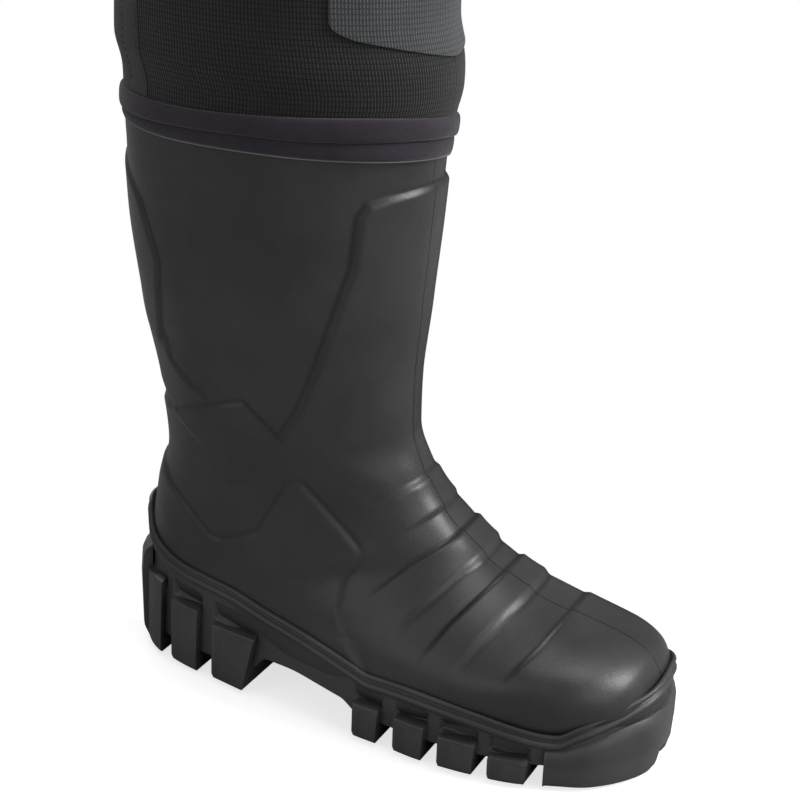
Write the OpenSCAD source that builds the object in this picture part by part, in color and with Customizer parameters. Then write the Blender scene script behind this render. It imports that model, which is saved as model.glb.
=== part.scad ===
// Chest waders: a neoprene garment bonded to a pair of lugged boots, with braces, belt and hardware.
// Millimetres. +Z is up, the wearer faces -Y, and the origin is on the ground midway between the boots,
// under the axis of the shafts. Paired parts are drawn for the left (+X) side and mirrored for the right.

/* [Boots] */
// Length of the outsole
boot_length = 310; // [300:1:318]
// Distance between the centre lines of the two boots
stance = 290; // [280:1:310]
// Thickness of the moulded boot wall
boot_wall = 4; // [3.5:0.1:4.5]
// Depth of the cleats under the sole
cleat_depth = 13; // [10:1:15]

/* [Garment] */
// Height of the knee fold
knee_height = 520; // [515:1:525]
// Height of the hip fold
hip_height = 800; // [798:1:802]
// Height of the seam between seat and bib
waist_height = 1010; // [1008:1:1014]
// Height of the bib at the front
bib_height = 1320; // [1316:1:1324]
// Height of the bib at the back
back_height = 1235; // [1225:1:1245]
// Thickness of the neoprene
neoprene = 4.5; // [4:0.5:5]

/* [Webbing and hardware] */
// Width of the belt and of the braces
webbing_width = 40; // [36:1:40]
// Thickness of the webbing
webbing_thickness = 1.8; // [1.5:0.1:2]
// Backward lean of the braces above the bib
brace_lean = 17; // [15:1:19]
// Length of the zip in the chest pocket
zip_length = 140; // [120:1:144]

/* [Hidden] */

gap = 0.4;              // clearance between parts that only lie against each other
running = 0.05;         // radial clearance of a turning pin
half_stance = stance / 2;
lengthen = boot_length / 310;
shaft_top = 312;        // top rim of the boot wall
leg_start = shaft_top + gap;
patch_gap = 1.6;        // how far a patch stands off the leg under it
tape_bottom = 303;
tape_top = 324;
around = 32;            // points in one ring of a soft part

// ---------- Sections and lofts ----------
// A section is [front y, front z, back y, back z, half width, centre x, squareness of the rear half].
// Ring angles run from 0 at the front, through 90 at the outer side (+X), to 180 at the back.

function power(value, exponent) = sign(value) * pow(abs(value), exponent);

function ring_point(s, inset, a) =
  let (front = [s[0], s[1]], back = [s[2], s[3]], middle = (front + back) / 2,
       half = norm(front - back) / 2, direction = (front - back) / (2 * half),
       exponent = 2 / (cos(a) < 0 ? s[6] : 2),
       along = (half - inset) * power(cos(a), exponent),
       across = (s[4] - inset) * power(sin(a), exponent))
  [s[5] + across, middle[0] + direction[0] * along, middle[1] + direction[1] * along];

function ring(s, inset = 0, n = around) = [for (i = [0:n - 1]) ring_point(s, inset, i * 360 / n)];

// One closed strip of a ring, between two insets and two angles.
function strip(s, outer, inner, a0, a1, n) = concat(
  [for (i = [0:n]) ring_point(s, outer, a0 + (a1 - a0) * i / n)],
  [for (i = [n:-1:0]) ring_point(s, inner, a0 + (a1 - a0) * i / n)]);

function reversed(list) = [for (i = [len(list) - 1:-1:0]) list[i]];
function joined(lists) = [for (list = lists) for (item = list) item];

// Triangles that skin rings of n points. A cyclic skin joins its last ring to its first.
function skin_faces(m, n, cyclic) = [for (i = [0:cyclic ? m - 1 : m - 2]) for (j = [0:n - 1])
  let (a = i * n + j, b = i * n + (j + 1) % n, c = ((i + 1) % m) * n + (j + 1) % n, d = ((i + 1) % m) * n + j)
  each [[a, b, c], [a, c, d]]];

// Skins a list of rings that have equal counts.
module loft(rings, cyclic = false) {
  n = len(rings[0]);
  m = len(rings);
  caps = cyclic ? [] : [[for (j = [n - 1:-1:0]) j], [for (j = [0:n - 1]) (m - 1) * n + j]];
  polyhedron(joined(rings), concat(skin_faces(m, n, cyclic), caps));
}

// Skins a list of curved strips; each end is closed from the strip's outer edge straight to its inner edge.
module strip_loft(strips) {
  n = len(strips[0]);
  m = len(strips);
  top = (m - 1) * n;
  caps = [for (j = [0:n / 2 - 2]) let (a = j, b = j + 1, c = n - 2 - j, d = n - 1 - j)
    each [[a, c, b], [a, d, c], [top + a, top + b, top + c], [top + a, top + c, top + d]]];
  polyhedron(joined(strips), concat(skin_faces(m, n, false), caps));
}

// A skin open at both ends, from the outer inset to the inner one.
module tube(sections, outer = 0, inner = neoprene) {
  loft(concat([for (s = sections) ring(s, outer)], [for (s = reversed(sections)) ring(s, inner)]), true);
}

// A curved panel that covers part of each section.
module panel(sections, outer, inner, a0, a1, n = 12) {
  strip_loft([for (s = sections) strip(s, outer, inner, a0, a1, n)]);
}

module place(side) {
  if (side == "left") children();
  else mirror([1, 0, 0]) children();
}

// A flat band along a path of [x, y, z] points, width along X turned by each point's own angle about Z.
module band(path, turns, width, thickness) {
  last = len(path) - 1;
  loft([for (i = [0:last])
    let (step = path[min(i + 1, last)] - path[max(i - 1, 0)], along = step / norm(step),
         across = [cos(turns[i]), sin(turns[i]), 0], side = across - along * (across * along),
         w = side / norm(side) * width / 2, normal = cross(along, side / norm(side)) * thickness / 2)
    [path[i] + w + normal, path[i] - w + normal, path[i] - w - normal, path[i] + w - normal]]);
}

// ---------- Boots ----------
ankle = 78;             // distance from the heel to the axis of the shaft
function boot_y(u) = (ankle - u) * lengthen;

// [front u, front z, back u, back z, half width, outward shift, squareness], u from the heel towards the toe
boot_stations = [
  [162, 312, -9.5, 312, 64, 0, 2],
  [158, 262, -5, 258, 62.5, 0, 2],
  [156, 220, 2, 212, 60, 0, 2],
  [154.5, 180, 10, 165, 55, 0, 2],
  [156, 153, 13, 128, 50.5, 0, 2.1],
  [162, 131, 10, 100, 46.5, 1, 2.2],
  [173, 113, 6, 70, 42.5, 1, 2.3],
  [189, 96, 6, 45, 41, 2.5, 2.5],
  [209, 82, 48, 33, 44.5, 4, 2.8],
  [232, 73, 114, 23, 51, 5, 3.2],
  [256, 68, 180, 20, 55, 5.5, 3.6],
  [276, 65, 228, 21, 53, 3, 3.6],
  [292, 58, 264, 24, 42, 1.5, 2.8],
  [302, 46, 290, 28, 25, 0, 2.2]
];
function boot_sections(stations) = [for (s = stations)
  [boot_y(s[0]), s[1], boot_y(s[2]), s[3], s[4], half_stance + s[5], s[6]]];
boot = boot_sections(boot_stations);
boot_inside = [for (i = [0:12]) boot[i]];

// A boot-shaped skin, open at the top and closed at the toe.
module boot_skin(outer, inner, outside, inside) {
  loft(concat([for (s = reversed(inside)) ring(s, inner)], [for (s = outside) ring(s, outer)]));
}

module boot_shell(side) {
  color("#303030") place(side) boot_skin(0, boot_wall, boot, boot_inside);
}

module boot_lining(side) {
  top = [boot_y(160.8), 300, boot_y(-8.2), 300, 63.6, half_stance, 2];
  toe = boot[11] * 0.12 + boot[12] * 0.88;
  outside = concat([top], [for (i = [1:11]) boot[i]], [toe]);
  inside = concat([top], [for (i = [1:11]) boot[i]]);
  color("#4a4a4c") place(side) boot_skin(boot_wall + 1.7, boot_wall + 4, outside, inside);
}

// Outline of the sole seen from above, as [u, outward] points joined by a closed smooth curve.
sole_points = [
  [-4, 0], [0, 13], [9, 24], [32, 36], [68, 42], [104, 46], [140, 54], [172, 63], [202, 68], [232, 65],
  [262, 56], [286, 39], [303, 15], [310, -5], [303, -27], [284, -45], [258, -55], [228, -57],
  [196, -53], [160, -43], [120, -40], [80, -41], [40, -37], [14, -27], [0, -15]];

function curve_point(p, i, t) =
  let (n = len(p), a = p[(i + n - 1) % n], b = p[i], c = p[(i + 1) % n], d = p[(i + 2) % n])
  b + (c - a) * t / 2 + (a - 2.5 * b + 2 * c - d / 2) * t * t + (1.5 * b - a / 2 - 1.5 * c + d / 2) * t * t * t;

function sole_outline() = [for (i = [0:len(sole_points) - 1]) for (t = [0, 0.5])
  let (p = curve_point(sole_points, i, t)) [half_stance + p[1], boot_y(p[0])]];

// Side view of the sole as [u, z]: the rim dips to the arch and climbs again at the toe.
rim = [[-12, 84], [4, 80], [10, 70], [22, 64], [66, 58], [104, 50], [154, 39], [175, 38], [230, 35], [266, 30],
  [292, 43], [310, 55], [322, 58]];
arch_start = 92;
arch_end = 157;
arch_height = 24;
groove_width = 13;
groove_places = [24, 56, 176, 202, 229, 256];

module sole_profile() {
  polygon([for (p = concat([[322, 0], [arch_end, 0], [arch_end - 8, arch_height], [arch_start + 14, arch_height],
                            [arch_start, 0], [-12, 0]], rim)) [boot_y(p[0]), p[1]]]);
}

module outsole(side) {
  beyond = boot[13] + (boot[13] - boot[12]) * 0.12;
  color("#2c2c2c") place(side) difference() {
    intersection() {
      linear_extrude(90) polygon(sole_outline());
      rotate([90, 0, 90]) linear_extrude(stance * 2) sole_profile();
    }
    loft([for (s = concat(boot, [beyond])) ring(s, -gap - 0.8)]);
    for (u = groove_places)
      translate([0, boot_y(u) - groove_width / 2, -1]) cube([stance, groove_width, cleat_depth + 1]);
    translate([half_stance - 4, boot_y(300), -1]) cube([9, (300 - arch_end) * lengthen, cleat_depth + 1]);
    translate([half_stance - 4, boot_y(arch_start), -1]) cube([9, (arch_start - 12) * lengthen, cleat_depth + 1]);
  }
}

// Removable footbed, as [u, height, half width] stations along the floor of the lining.
module insole(side) {
  stations = [[40, 68.5, 6], [62, 62, 12], [115, 51, 16], [175, 43, 23], [230, 42, 24], [248, 45, 17]];
  thickness = 4;
  color("#7d7f80") place(side) loft([for (s = stations) let (x = half_stance + s[0] / 80, y = boot_y(s[0]))
    [[x - s[2], y, s[1]], [x + s[2], y, s[1]], [x + s[2], y, s[1] + thickness], [x - s[2], y, s[1] + thickness]]]);
}

// ---------- Legs ----------
leg_front = [[300, -83], [345, -89], [430, -88], [520, -93], [600, -100], [700, -110], [800, -122]];
leg_back = [[300, 88], [345, 94], [430, 98], [520, 95], [600, 100], [700, 112], [800, 128]];
leg_half_width = [[300, 64.5], [345, 68], [430, 74], [520, 81], [600, 88], [700, 97], [780, 104]];
leg_centre = [[300, half_stance], [345, half_stance - 2], [780, 110]];

function leg(front_z, back_z) =
  let (middle = (front_z + back_z) / 2)
  [lookup(front_z, leg_front), front_z, lookup(back_z, leg_back), back_z,
   lookup(middle, leg_half_width), lookup(middle, leg_centre), 2];

knee_open = 50;         // height of the wedge left open behind the knee, half above and half below the fold
lower_leg_rings = [leg(leg_start, leg_start), leg(330, 330), leg(350, 350), leg(400, 395), leg(450, 430),
                   leg(knee_height - 10, knee_height - knee_open)];
upper_leg_rings = [leg(knee_height + 10, knee_height + knee_open), leg(600, 620), leg(680, 690),
                   leg(hip_height - 38, hip_height - 26)];

module lower_leg(side) {
  color("#1e1e1f") place(side) tube(lower_leg_rings);
}

module upper_leg(side) {
  color("#1e1e1f") place(side) tube(upper_leg_rings);
}

module cuff_tape(side) {
  color("#37333a") place(side)
    tube([leg(tape_bottom, tape_bottom), leg(shaft_top, shaft_top), leg(tape_top, tape_top)], -gap - 1.6, -gap);
}

module inner_seam_tape(side) {
  color("#2a2a2c") place(side) tube([leg(304, 304), leg(shaft_top, shaft_top), leg(322, 322)],
                                    neoprene + 2.4, neoprene + 3.2);
}

module shin_guard(side) {
  color("#5b5e60") place(side)
    panel([leg(352, 352), leg(430, 430), leg(knee_height - 12, knee_height - 12)],
          -patch_gap - 1, -patch_gap, -54, 54);
}

module knee_pad(side) {
  color("#5b5e60") place(side)
    panel([leg(knee_height + 14, knee_height + 14), leg(600, 600), leg(660, 660)],
          -patch_gap - 1.4, -patch_gap, -54, 54);
}

module leg_stripe(side) {
  color("#3c3d3f") place(side)
    panel([leg(330, 330), leg(400, 400), leg(462, 462)], -patch_gap - 0.8, -patch_gap, 123, 137, 4);
}

// ---------- Seat and bib ----------
torso_front = [[790, -126], [900, -131], [1010, -126], [1120, -130], [1235, -132], [1330, -130]];
torso_back = [[790, 131], [900, 138], [1010, 128], [1120, 128], [1235, 128], [1330, 126]];
torso_half_width = [[790, 215], [900, 212], [1010, 197], [1120, 200], [1235, 206], [1330, 204]];

function torso(front_z, back_z) =
  [lookup(front_z, torso_front), front_z, lookup(back_z, torso_back), back_z,
   lookup((front_z + back_z) / 2, torso_half_width), 0, 2];
function level(z) = torso(z, z);

front_reach = 78;       // angle at which the front bib meets the side gussets
back_reach = 102;

module seat_panel() {
  color("#1e1e1f") tube([torso(hip_height + 40, hip_height - 5), torso(905, 890), level(waist_height - gap)]);
}

module crotch_gusset() {
  color("#242425") translate([0, 0, hip_height - 4])
    linear_extrude(neoprene) polygon([[-42, 8], [0, -34], [42, 8], [0, 66]]);
}

module bib_front() {
  color("#1e1e1f") panel([level(waist_height), level(1120), level(back_height), level(bib_height)],
                         0, neoprene, -front_reach, front_reach, 20);
}

module bib_back() {
  color("#1e1e1f") panel([level(waist_height), level(1120), level(back_height)],
                         0, neoprene, back_reach, 360 - back_reach, 20);
}

module side_gussets() {
  margin = 0.3;
  color("#3a3a3c") for (side = ["left", "right"]) place(side)
    panel([level(waist_height), level(1120), level(back_height)], 0, neoprene,
          front_reach + margin, back_reach - margin, 4);
}

module top_hem() {
  depth = 12;
  lift = 0.3;
  color("#37333a") {
    panel([level(bib_height + lift), level(bib_height + depth)], -1.5, neoprene + 1, -front_reach, front_reach, 20);
    panel([level(back_height + lift), level(back_height + depth)], -1.5, neoprene + 1,
          back_reach, 360 - back_reach, 20);
  }
}

// ---------- Chest pocket and zip ----------
pocket_depth = 20;
pocket_bottom = 1098;
pocket_top = 1258;
zip_middle = 1178;
zip_y = lookup(zip_middle, torso_front) - gap - pocket_depth - 2;
zip_bottom = zip_middle - zip_length / 2;
zip_top = zip_middle + zip_length / 2;
slider_z = zip_top - 8;
pull_y = zip_y - 7.4;
pull_pin = 0.8;

module chest_pocket() {
  color("#232324") panel([level(pocket_bottom), level(1120), level(1235), level(pocket_top)],
                         -gap - pocket_depth + 0.3, -gap, -37, 37, 14);
}

module zip_tape() {
  color("#161616") {
    translate([-13, zip_y, zip_bottom]) cube([26, 1.2, zip_length]);
    translate([-2.4, zip_y - 1.6, zip_bottom + 2]) cube([4.8, 1.6, zip_length - 4]);
  }
}

module zip_slider() {
  color("#8b8d90") {
    difference() {
      translate([-5, zip_y - 5, slider_z - 7]) cube([10, 3.1, 14]);
      for (side = [-1, 1]) translate([side * 8.4, zip_y - 6, slider_z + 6]) cylinder(h = 5, r = 5, $fn = 48);
    }
    for (side = [-1, 1]) translate([side * 3.2 - 0.6, pull_y - 1.4, slider_z - 2]) cube([1.2, 4.4, 4]);
    translate([-2.8, pull_y, slider_z]) rotate([0, 90, 0]) cylinder(h = 5.6, r = pull_pin, $fn = 32);
  }
}

module zip_pull() {
  color("#8b8d90") difference() {
    union() {
      translate([-2.3, pull_y, slider_z]) rotate([0, 90, 0]) cylinder(h = 4.6, r = 1.9, $fn = 32);
      translate([-2.3, pull_y - 0.8, slider_z - 30]) cube([4.6, 1.6, 30]);
      translate([0, pull_y + 0.8, slider_z - 30]) rotate([90, 0, 0]) cylinder(h = 1.6, r = 5, $fn = 48);
    }
    translate([-4, pull_y, slider_z]) rotate([0, 90, 0]) cylinder(h = 8, r = pull_pin + running, $fn = 32);
    translate([0, pull_y + 2, slider_z - 30]) rotate([90, 0, 0]) cylinder(h = 4, r = 2.6, $fn = 32);
  }
}

// ---------- Side-release buckle ----------
// Drawn with the plug leaving along +X, the width along Y and the thickness along Z; the mouth is at x = 0.
buckle_half = webbing_width / 2 + 3;
socket_length = 36;
socket_half_thickness = 5;
plug_length = 20;
travel = 22;            // distance the plug slides out
prong_pinch = 5;        // degrees each prong bends inwards
prong_pivot = [2.4, 14.8];
prong_root = 2.2;
prong_half_thickness = 2.4;

module slot(x0, x1, half) {
  translate([x0, -half, -8]) cube([x1 - x0, 2 * half, 16]);
}

module buckle_socket() {
  corner = 4;
  difference() {
    union() {
      translate([-socket_length + corner, -buckle_half, -socket_half_thickness])
        cube([socket_length - corner, 2 * buckle_half, 2 * socket_half_thickness]);
      translate([-socket_length, -buckle_half + corner, -socket_half_thickness])
        cube([socket_length, 2 * (buckle_half - corner), 2 * socket_half_thickness]);
      for (s = [-1, 1]) translate([-socket_length + corner, s * (buckle_half - corner), -socket_half_thickness])
        cylinder(h = 2 * socket_half_thickness, r = corner, $fn = 48);
    }
    translate([-22, -19.2, -3]) cube([23, 38.4, 6]);
    for (s = [-1, 1]) translate([-20, s * 21.2 - 4, -3]) cube([13, 8, 6]);
    slot(-31, -26, buckle_half - 3);
  }
}

module buckle_plug() {
  difference() {
    union() {
      translate([gap, -buckle_half + 1, -4.5]) cube([plug_length, 2 * buckle_half - 2, 9]);
      translate([-18, -3.5, -prong_half_thickness]) cube([20, 7, 2 * prong_half_thickness]);
    }
    slot(11, 16, buckle_half - 4);
    for (s = [-1, 1]) {
      translate([prong_pivot[0], s * prong_pivot[1], -5]) cylinder(h = 10, r = prong_root + running, $fn = 48);
      translate([0, s * prong_pivot[1] - 2.2, -5]) cube([prong_pivot[0], 4.4, 10]);
    }
  }
}

// One springy prong with its thumb head; side is +1 or -1 along Y.
module buckle_prong(side) {
  translate([prong_pivot[0], side * prong_pivot[1], -prong_half_thickness])
    cylinder(h = 2 * prong_half_thickness, r = prong_root, $fn = 48);
  translate([-18, side * (prong_pivot[1] + 0.4) - 1.6, -prong_half_thickness])
    cube([20.4, 3.2, 2 * prong_half_thickness]);
  hull() {
    translate([-18, side * 16.8 - 2, -prong_half_thickness]) cube([9, 4, 2 * prong_half_thickness]);
    translate([-19.6, side * 14, -prong_half_thickness]) cylinder(h = 2 * prong_half_thickness, r = 1.2, $fn = 24);
  }
}

// ---------- Belt ----------
belt_z = 1048;
belt_y = lookup(belt_z, torso_front) - 9;

module place_belt_buckle() {
  translate([2, belt_y, belt_z]) rotate([90, 0, 0]) children();
}

module waist_belt() {
  half = webbing_width / 2;
  color("#222224") panel([level(belt_z - half), level(belt_z + half)], -gap - 0.4 - webbing_thickness, -gap - 0.4,
                         31, 346, 44);
}

module belt_loops() {
  half = webbing_width / 2 + 3;
  color("#222224") for (a = [56, 124, 236, 304]) {
    panel([level(belt_z - half), level(belt_z + half)], -5, -3.4, a - 2.2, a + 2.2, 2);
    for (z = [belt_z - half - 7, belt_z + half]) panel([level(z), level(z + 7)], -5, -0.3, a - 2.2, a + 2.2, 2);
  }
}

module belt_socket() { color("#1a1a1b") place_belt_buckle() buckle_socket(); }
module belt_plug() { color("#1a1a1b") place_belt_buckle() buckle_plug(); }
module belt_prong_upper() { color("#1a1a1b") place_belt_buckle() buckle_prong(1); }
module belt_prong_lower() { color("#1a1a1b") place_belt_buckle() buckle_prong(-1); }

// ---------- Braces ----------
brace_x = 96;
brace_turn = 19;         // the buckles are turned to lie flat on the chest
brace_start = [brace_x, -117, 1368];
function up_brace(distance) = brace_start +
  distance * [-sin(brace_turn) * sin(brace_lean), cos(brace_turn) * sin(brace_lean), cos(brace_lean)];

module place_brace_buckle(side) {
  place(side) translate(brace_start) rotate([-brace_lean, 0, brace_turn]) rotate([0, 0, -90]) rotate([0, -90, 0])
    children();
}

module brace_socket(side) { color("#1a1a1b") place_brace_buckle(side) buckle_socket(); }
module brace_plug(side) { color("#1a1a1b") place_brace_buckle(side) buckle_plug(); }
// In the buckle's frame the inner prong, towards the wearer's middle, lies at -Y.
module brace_prong_outer(side) { color("#1a1a1b") place_brace_buckle(side) buckle_prong(1); }
module brace_prong_inner(side) { color("#1a1a1b") place_brace_buckle(side) buckle_prong(-1); }

module brace(side) {
  path = [up_brace(48), up_brace(70), up_brace(118), [82, -62, 1505], [79, -24, 1520], [75, 22, 1517],
          [65, 68, 1494], [48, 104, 1452], [30, 124, 1412]];
  turns = [brace_turn, brace_turn, brace_turn, 15, 8, 8, 12, 10, 4];
  color("#2b2b2d") place(side) band(path, turns, webbing_width, webbing_thickness);
}

module brace_yoke() {
  color("#1a1a1b") translate([0, 133.5, 0]) rotate([90, 0, 0]) difference() {
    hull() {
      for (s = [-1, 1]) translate([s * 34, 1412, 0]) cylinder(h = 3, r = 14, $fn = 48);
      for (s = [-1, 1]) translate([s * 19, 1338, 0]) cylinder(h = 3, r = 13, $fn = 48);
    }
    for (s = [-1, 1]) translate([s * 34, 1412, -1]) cylinder(h = 5, r = 2.5, $fn = 32);
    translate([-26, 1334, -1]) cube([52, 4, 5]);
  }
}

module back_elastic() {
  wide = 50;
  color("#2b2b2d") band([[0, 136, 1342], [0, 135, 1290], [0, 133, 1250], [0, 132, 1200]], [0, 0, 0, 0],
                        wide, webbing_thickness);
}

// A section shrunk by the same amount all round.
function shrunk(s, amount) = [s[0] + amount, s[1], s[2] - amount, s[3], s[4] - amount, s[5], s[6]];

module brace_tabs() {
  over_hem = 2;           // the tab steps outwards to pass over the top hem
  step = over_hem - gap;
  color("#2b2b2d") for (side = ["left", "right"]) place(side)
    panel([shrunk(level(1262), step), shrunk(level(1308), step), level(1317), level(1331)],
          -over_hem - webbing_thickness, -over_hem, 22, 34, 4);
}

module brace_adjuster(side) {
  half_w = webbing_width / 2 + 5;
  color("#1a1a1b") place(side) translate(up_brace(84)) rotate([-brace_lean, 0, brace_turn]) translate([0, -1.4, 0])
    rotate([90, 0, 0]) difference() {
      union() {
        translate([-half_w, -10, 0]) cube([2 * half_w, 20, 3]);
        translate([-half_w + 4, -14, 0]) cube([2 * half_w - 8, 28, 3]);
        for (x = [-1, 1]) for (y = [-1, 1]) translate([x * (half_w - 4), y * 10, 0]) cylinder(h = 3, r = 4, $fn = 48);
      }
      for (y = [-9.5, 3.5]) translate([-webbing_width / 2 - 1, y, -1]) cube([webbing_width + 2, 6, 5]);
    }
}

// ---------- D-rings ----------
d_ring_x = 58;
d_ring_y = -139;
d_ring_z = 1284;
d_wire = 1.7;
d_radius = 13;

module d_ring_tabs() {
  color("#2b2b2d") for (side = ["left", "right"]) place(side) difference() {
    union() {
      translate([d_ring_x - 8, d_ring_y, d_ring_z]) rotate([0, 90, 0]) cylinder(h = 16, r = 3.4, $fn = 48);
      translate([d_ring_x - 8, d_ring_y, d_ring_z]) cube([16, 2, 26]);
      translate([d_ring_x - 8, d_ring_y, d_ring_z + 18]) cube([16, 11.6, 8]);
    }
    translate([d_ring_x - 9, d_ring_y, d_ring_z]) rotate([0, 90, 0]) cylinder(h = 18, r = d_wire + running, $fn = 48);
  }
}

module d_ring(side) {
  color("#9a9da0") place(side) translate([d_ring_x, d_ring_y, d_ring_z]) {
    translate([-d_radius, 0, 0]) rotate([0, 90, 0]) cylinder(h = 2 * d_radius, r = d_wire, $fn = 48);
    rotate([90, 0, 0]) rotate([0, 0, 180]) rotate_extrude(angle = 180, $fn = 96)
      translate([d_radius, 0]) circle(r = d_wire, $fn = 32);
    for (s = [-1, 1]) translate([s * d_radius, 0, 0]) sphere(r = d_wire, $fn = 32);
  }
}

// ---------- Drawcord and cord lock ----------
cord_z = 1302;
cord_y = -143;
cord_radius = 1.3;
lock_x = 4;
barrel_radius = 7.5;
barrel_bottom = -12;    // below the cords
barrel_top = 8;         // above the cords
barrel_floor = 1.5;
button_radius = 5.2;
button_foot = -4.6;
button_travel = 3;
spring_bottom = cord_z + barrel_bottom + barrel_floor + 0.1;
spring_top = cord_z + button_foot - 0.1;

module hem_drawcord() {
  color("#3c3c3e") {
    for (y = [-1.6, 1.6]) translate([-26, cord_y + y, cord_z]) rotate([0, 90, 0]) cylinder(h = 54, r = cord_radius, $fn = 32);
    translate([26, cord_y, cord_z]) sphere(r = 4.2, $fn = 48);
    translate([-30, cord_y - 3.4, cord_z - 4]) cube([5, 16.5, 8]);
  }
}

module cord_lock_barrel() {
  color("#1a1a1b") translate([lock_x, cord_y, cord_z]) difference() {
    translate([0, 0, barrel_bottom]) cylinder(h = barrel_top - barrel_bottom, r = barrel_radius, $fn = 72);
    translate([0, 0, barrel_bottom + barrel_floor]) cylinder(h = 40, r = button_radius + running, $fn = 72);
    translate([-10, -3.3, -1.7]) cube([20, 6.6, 3.4]);
  }
}

module cord_lock_button() {
  color("#555759") translate([lock_x, cord_y, cord_z]) difference() {
    union() {
      translate([0, 0, button_foot]) cylinder(h = barrel_top + 5 - button_foot, r = button_radius, $fn = 72);
      translate([0, 0, barrel_top + 4]) cylinder(h = 2, r = button_radius + 1, $fn = 72);
    }
    translate([-10, -3.3, -1.5]) cube([20, 6.6, 3.2 + button_travel]);
  }
}

module cord_lock_spring() {
  turns = 3;
  wire = 0.35;
  radius = 3.6;
  steps = 36;
  color("#b0b3b6") translate([lock_x, cord_y, spring_bottom + wire]) loft([for (i = [0:steps])
    let (a = 360 * turns * i / steps, z = (spring_top - spring_bottom - 2 * wire - 0.1) * i / steps)
    [for (b = [0:60:300]) [(radius + wire * cos(b)) * cos(a), (radius + wire * cos(b)) * sin(a), z + wire * sin(b)]]]);
}

boot_shell("right");  // boot_shell_right
boot_shell("left");  // boot_shell_left
outsole("right");  // outsole_right
outsole("left");  // outsole_left
boot_lining("right");  // boot_lining_right
boot_lining("left");  // boot_lining_left
insole("right");  // insole_right
insole("left");  // insole_left
cuff_tape("right");  // cuff_tape_right
cuff_tape("left");  // cuff_tape_left
inner_seam_tape("right");  // inner_seam_tape_right
inner_seam_tape("left");  // inner_seam_tape_left
lower_leg("right");  // lower_leg_right
lower_leg("left");  // lower_leg_left
upper_leg("right");  // upper_leg_right
upper_leg("left");  // upper_leg_left
shin_guard("right");  // shin_guard_right
shin_guard("left");  // shin_guard_left
knee_pad("right");  // knee_pad_right
knee_pad("left");  // knee_pad_left
leg_stripe("right");  // leg_stripe_right
leg_stripe("left");  // leg_stripe_left
seat_panel();
crotch_gusset();
bib_front();
bib_back();
side_gussets();
top_hem();
chest_pocket();
zip_tape();
zip_slider();
zip_pull();
waist_belt();
belt_loops();
belt_socket();
belt_plug();
belt_prong_upper();
belt_prong_lower();
brace("right");  // brace_right
brace("left");  // brace_left
brace_yoke();
back_elastic();
brace_tabs();
brace_socket("right");  // brace_socket_right
brace_socket("left");  // brace_socket_left
brace_plug("right");  // brace_plug_right
brace_plug("left");  // brace_plug_left
brace_prong_outer("right");  // brace_prong_outer_right
brace_prong_inner("right");  // brace_prong_inner_right
brace_prong_outer("left");  // brace_prong_outer_left
brace_prong_inner("left");  // brace_prong_inner_left
brace_adjuster("right");  // brace_adjuster_right
brace_adjuster("left");  // brace_adjuster_left
d_ring_tabs();
d_ring("right");  // d_ring_right
d_ring("left");  // d_ring_left
hem_drawcord();
cord_lock_barrel();
cord_lock_button();
cord_lock_spring();
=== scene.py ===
"""Chest waders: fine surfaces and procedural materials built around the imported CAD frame. All sizes in the
tables are millimetres and are turned into metres when a mesh is made. Paired pieces are drawn for the
wearer's left (+X) and mirrored for the right."""

import math

import bmesh
import bpy
import numpy as np
from mathutils import Matrix, Vector


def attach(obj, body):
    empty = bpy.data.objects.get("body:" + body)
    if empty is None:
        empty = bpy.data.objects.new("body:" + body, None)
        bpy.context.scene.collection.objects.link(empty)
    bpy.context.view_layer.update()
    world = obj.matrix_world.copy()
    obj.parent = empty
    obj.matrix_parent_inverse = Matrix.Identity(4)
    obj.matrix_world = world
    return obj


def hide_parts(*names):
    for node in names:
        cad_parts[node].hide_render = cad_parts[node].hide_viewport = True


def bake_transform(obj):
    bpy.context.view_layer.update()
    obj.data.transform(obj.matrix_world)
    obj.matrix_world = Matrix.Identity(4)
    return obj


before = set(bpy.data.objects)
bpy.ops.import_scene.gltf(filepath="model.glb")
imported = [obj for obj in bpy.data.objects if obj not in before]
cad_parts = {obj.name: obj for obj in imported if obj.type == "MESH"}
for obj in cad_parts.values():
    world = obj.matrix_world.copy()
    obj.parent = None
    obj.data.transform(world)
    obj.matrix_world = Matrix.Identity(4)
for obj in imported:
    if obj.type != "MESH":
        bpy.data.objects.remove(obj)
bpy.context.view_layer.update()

MM = 0.001
STANCE = 145.0          # half the distance between the boots' centre lines
ANKLE = 78.0            # from the back of the heel to the axis of the shaft
SIDES = ("right", "left")
UP = np.array([0, 0, 1.0])
MIRROR = {"left": 1, "right": -1}


# ---- numbers and curves
def smooth(x):
    x = np.clip(x, 0.0, 1.0)
    return x * x * (3 - 2 * x)


def bell(x, centre, width):
    """A bump of height 1 round centre."""
    return np.exp(-((x - centre) / width) ** 2)


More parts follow.
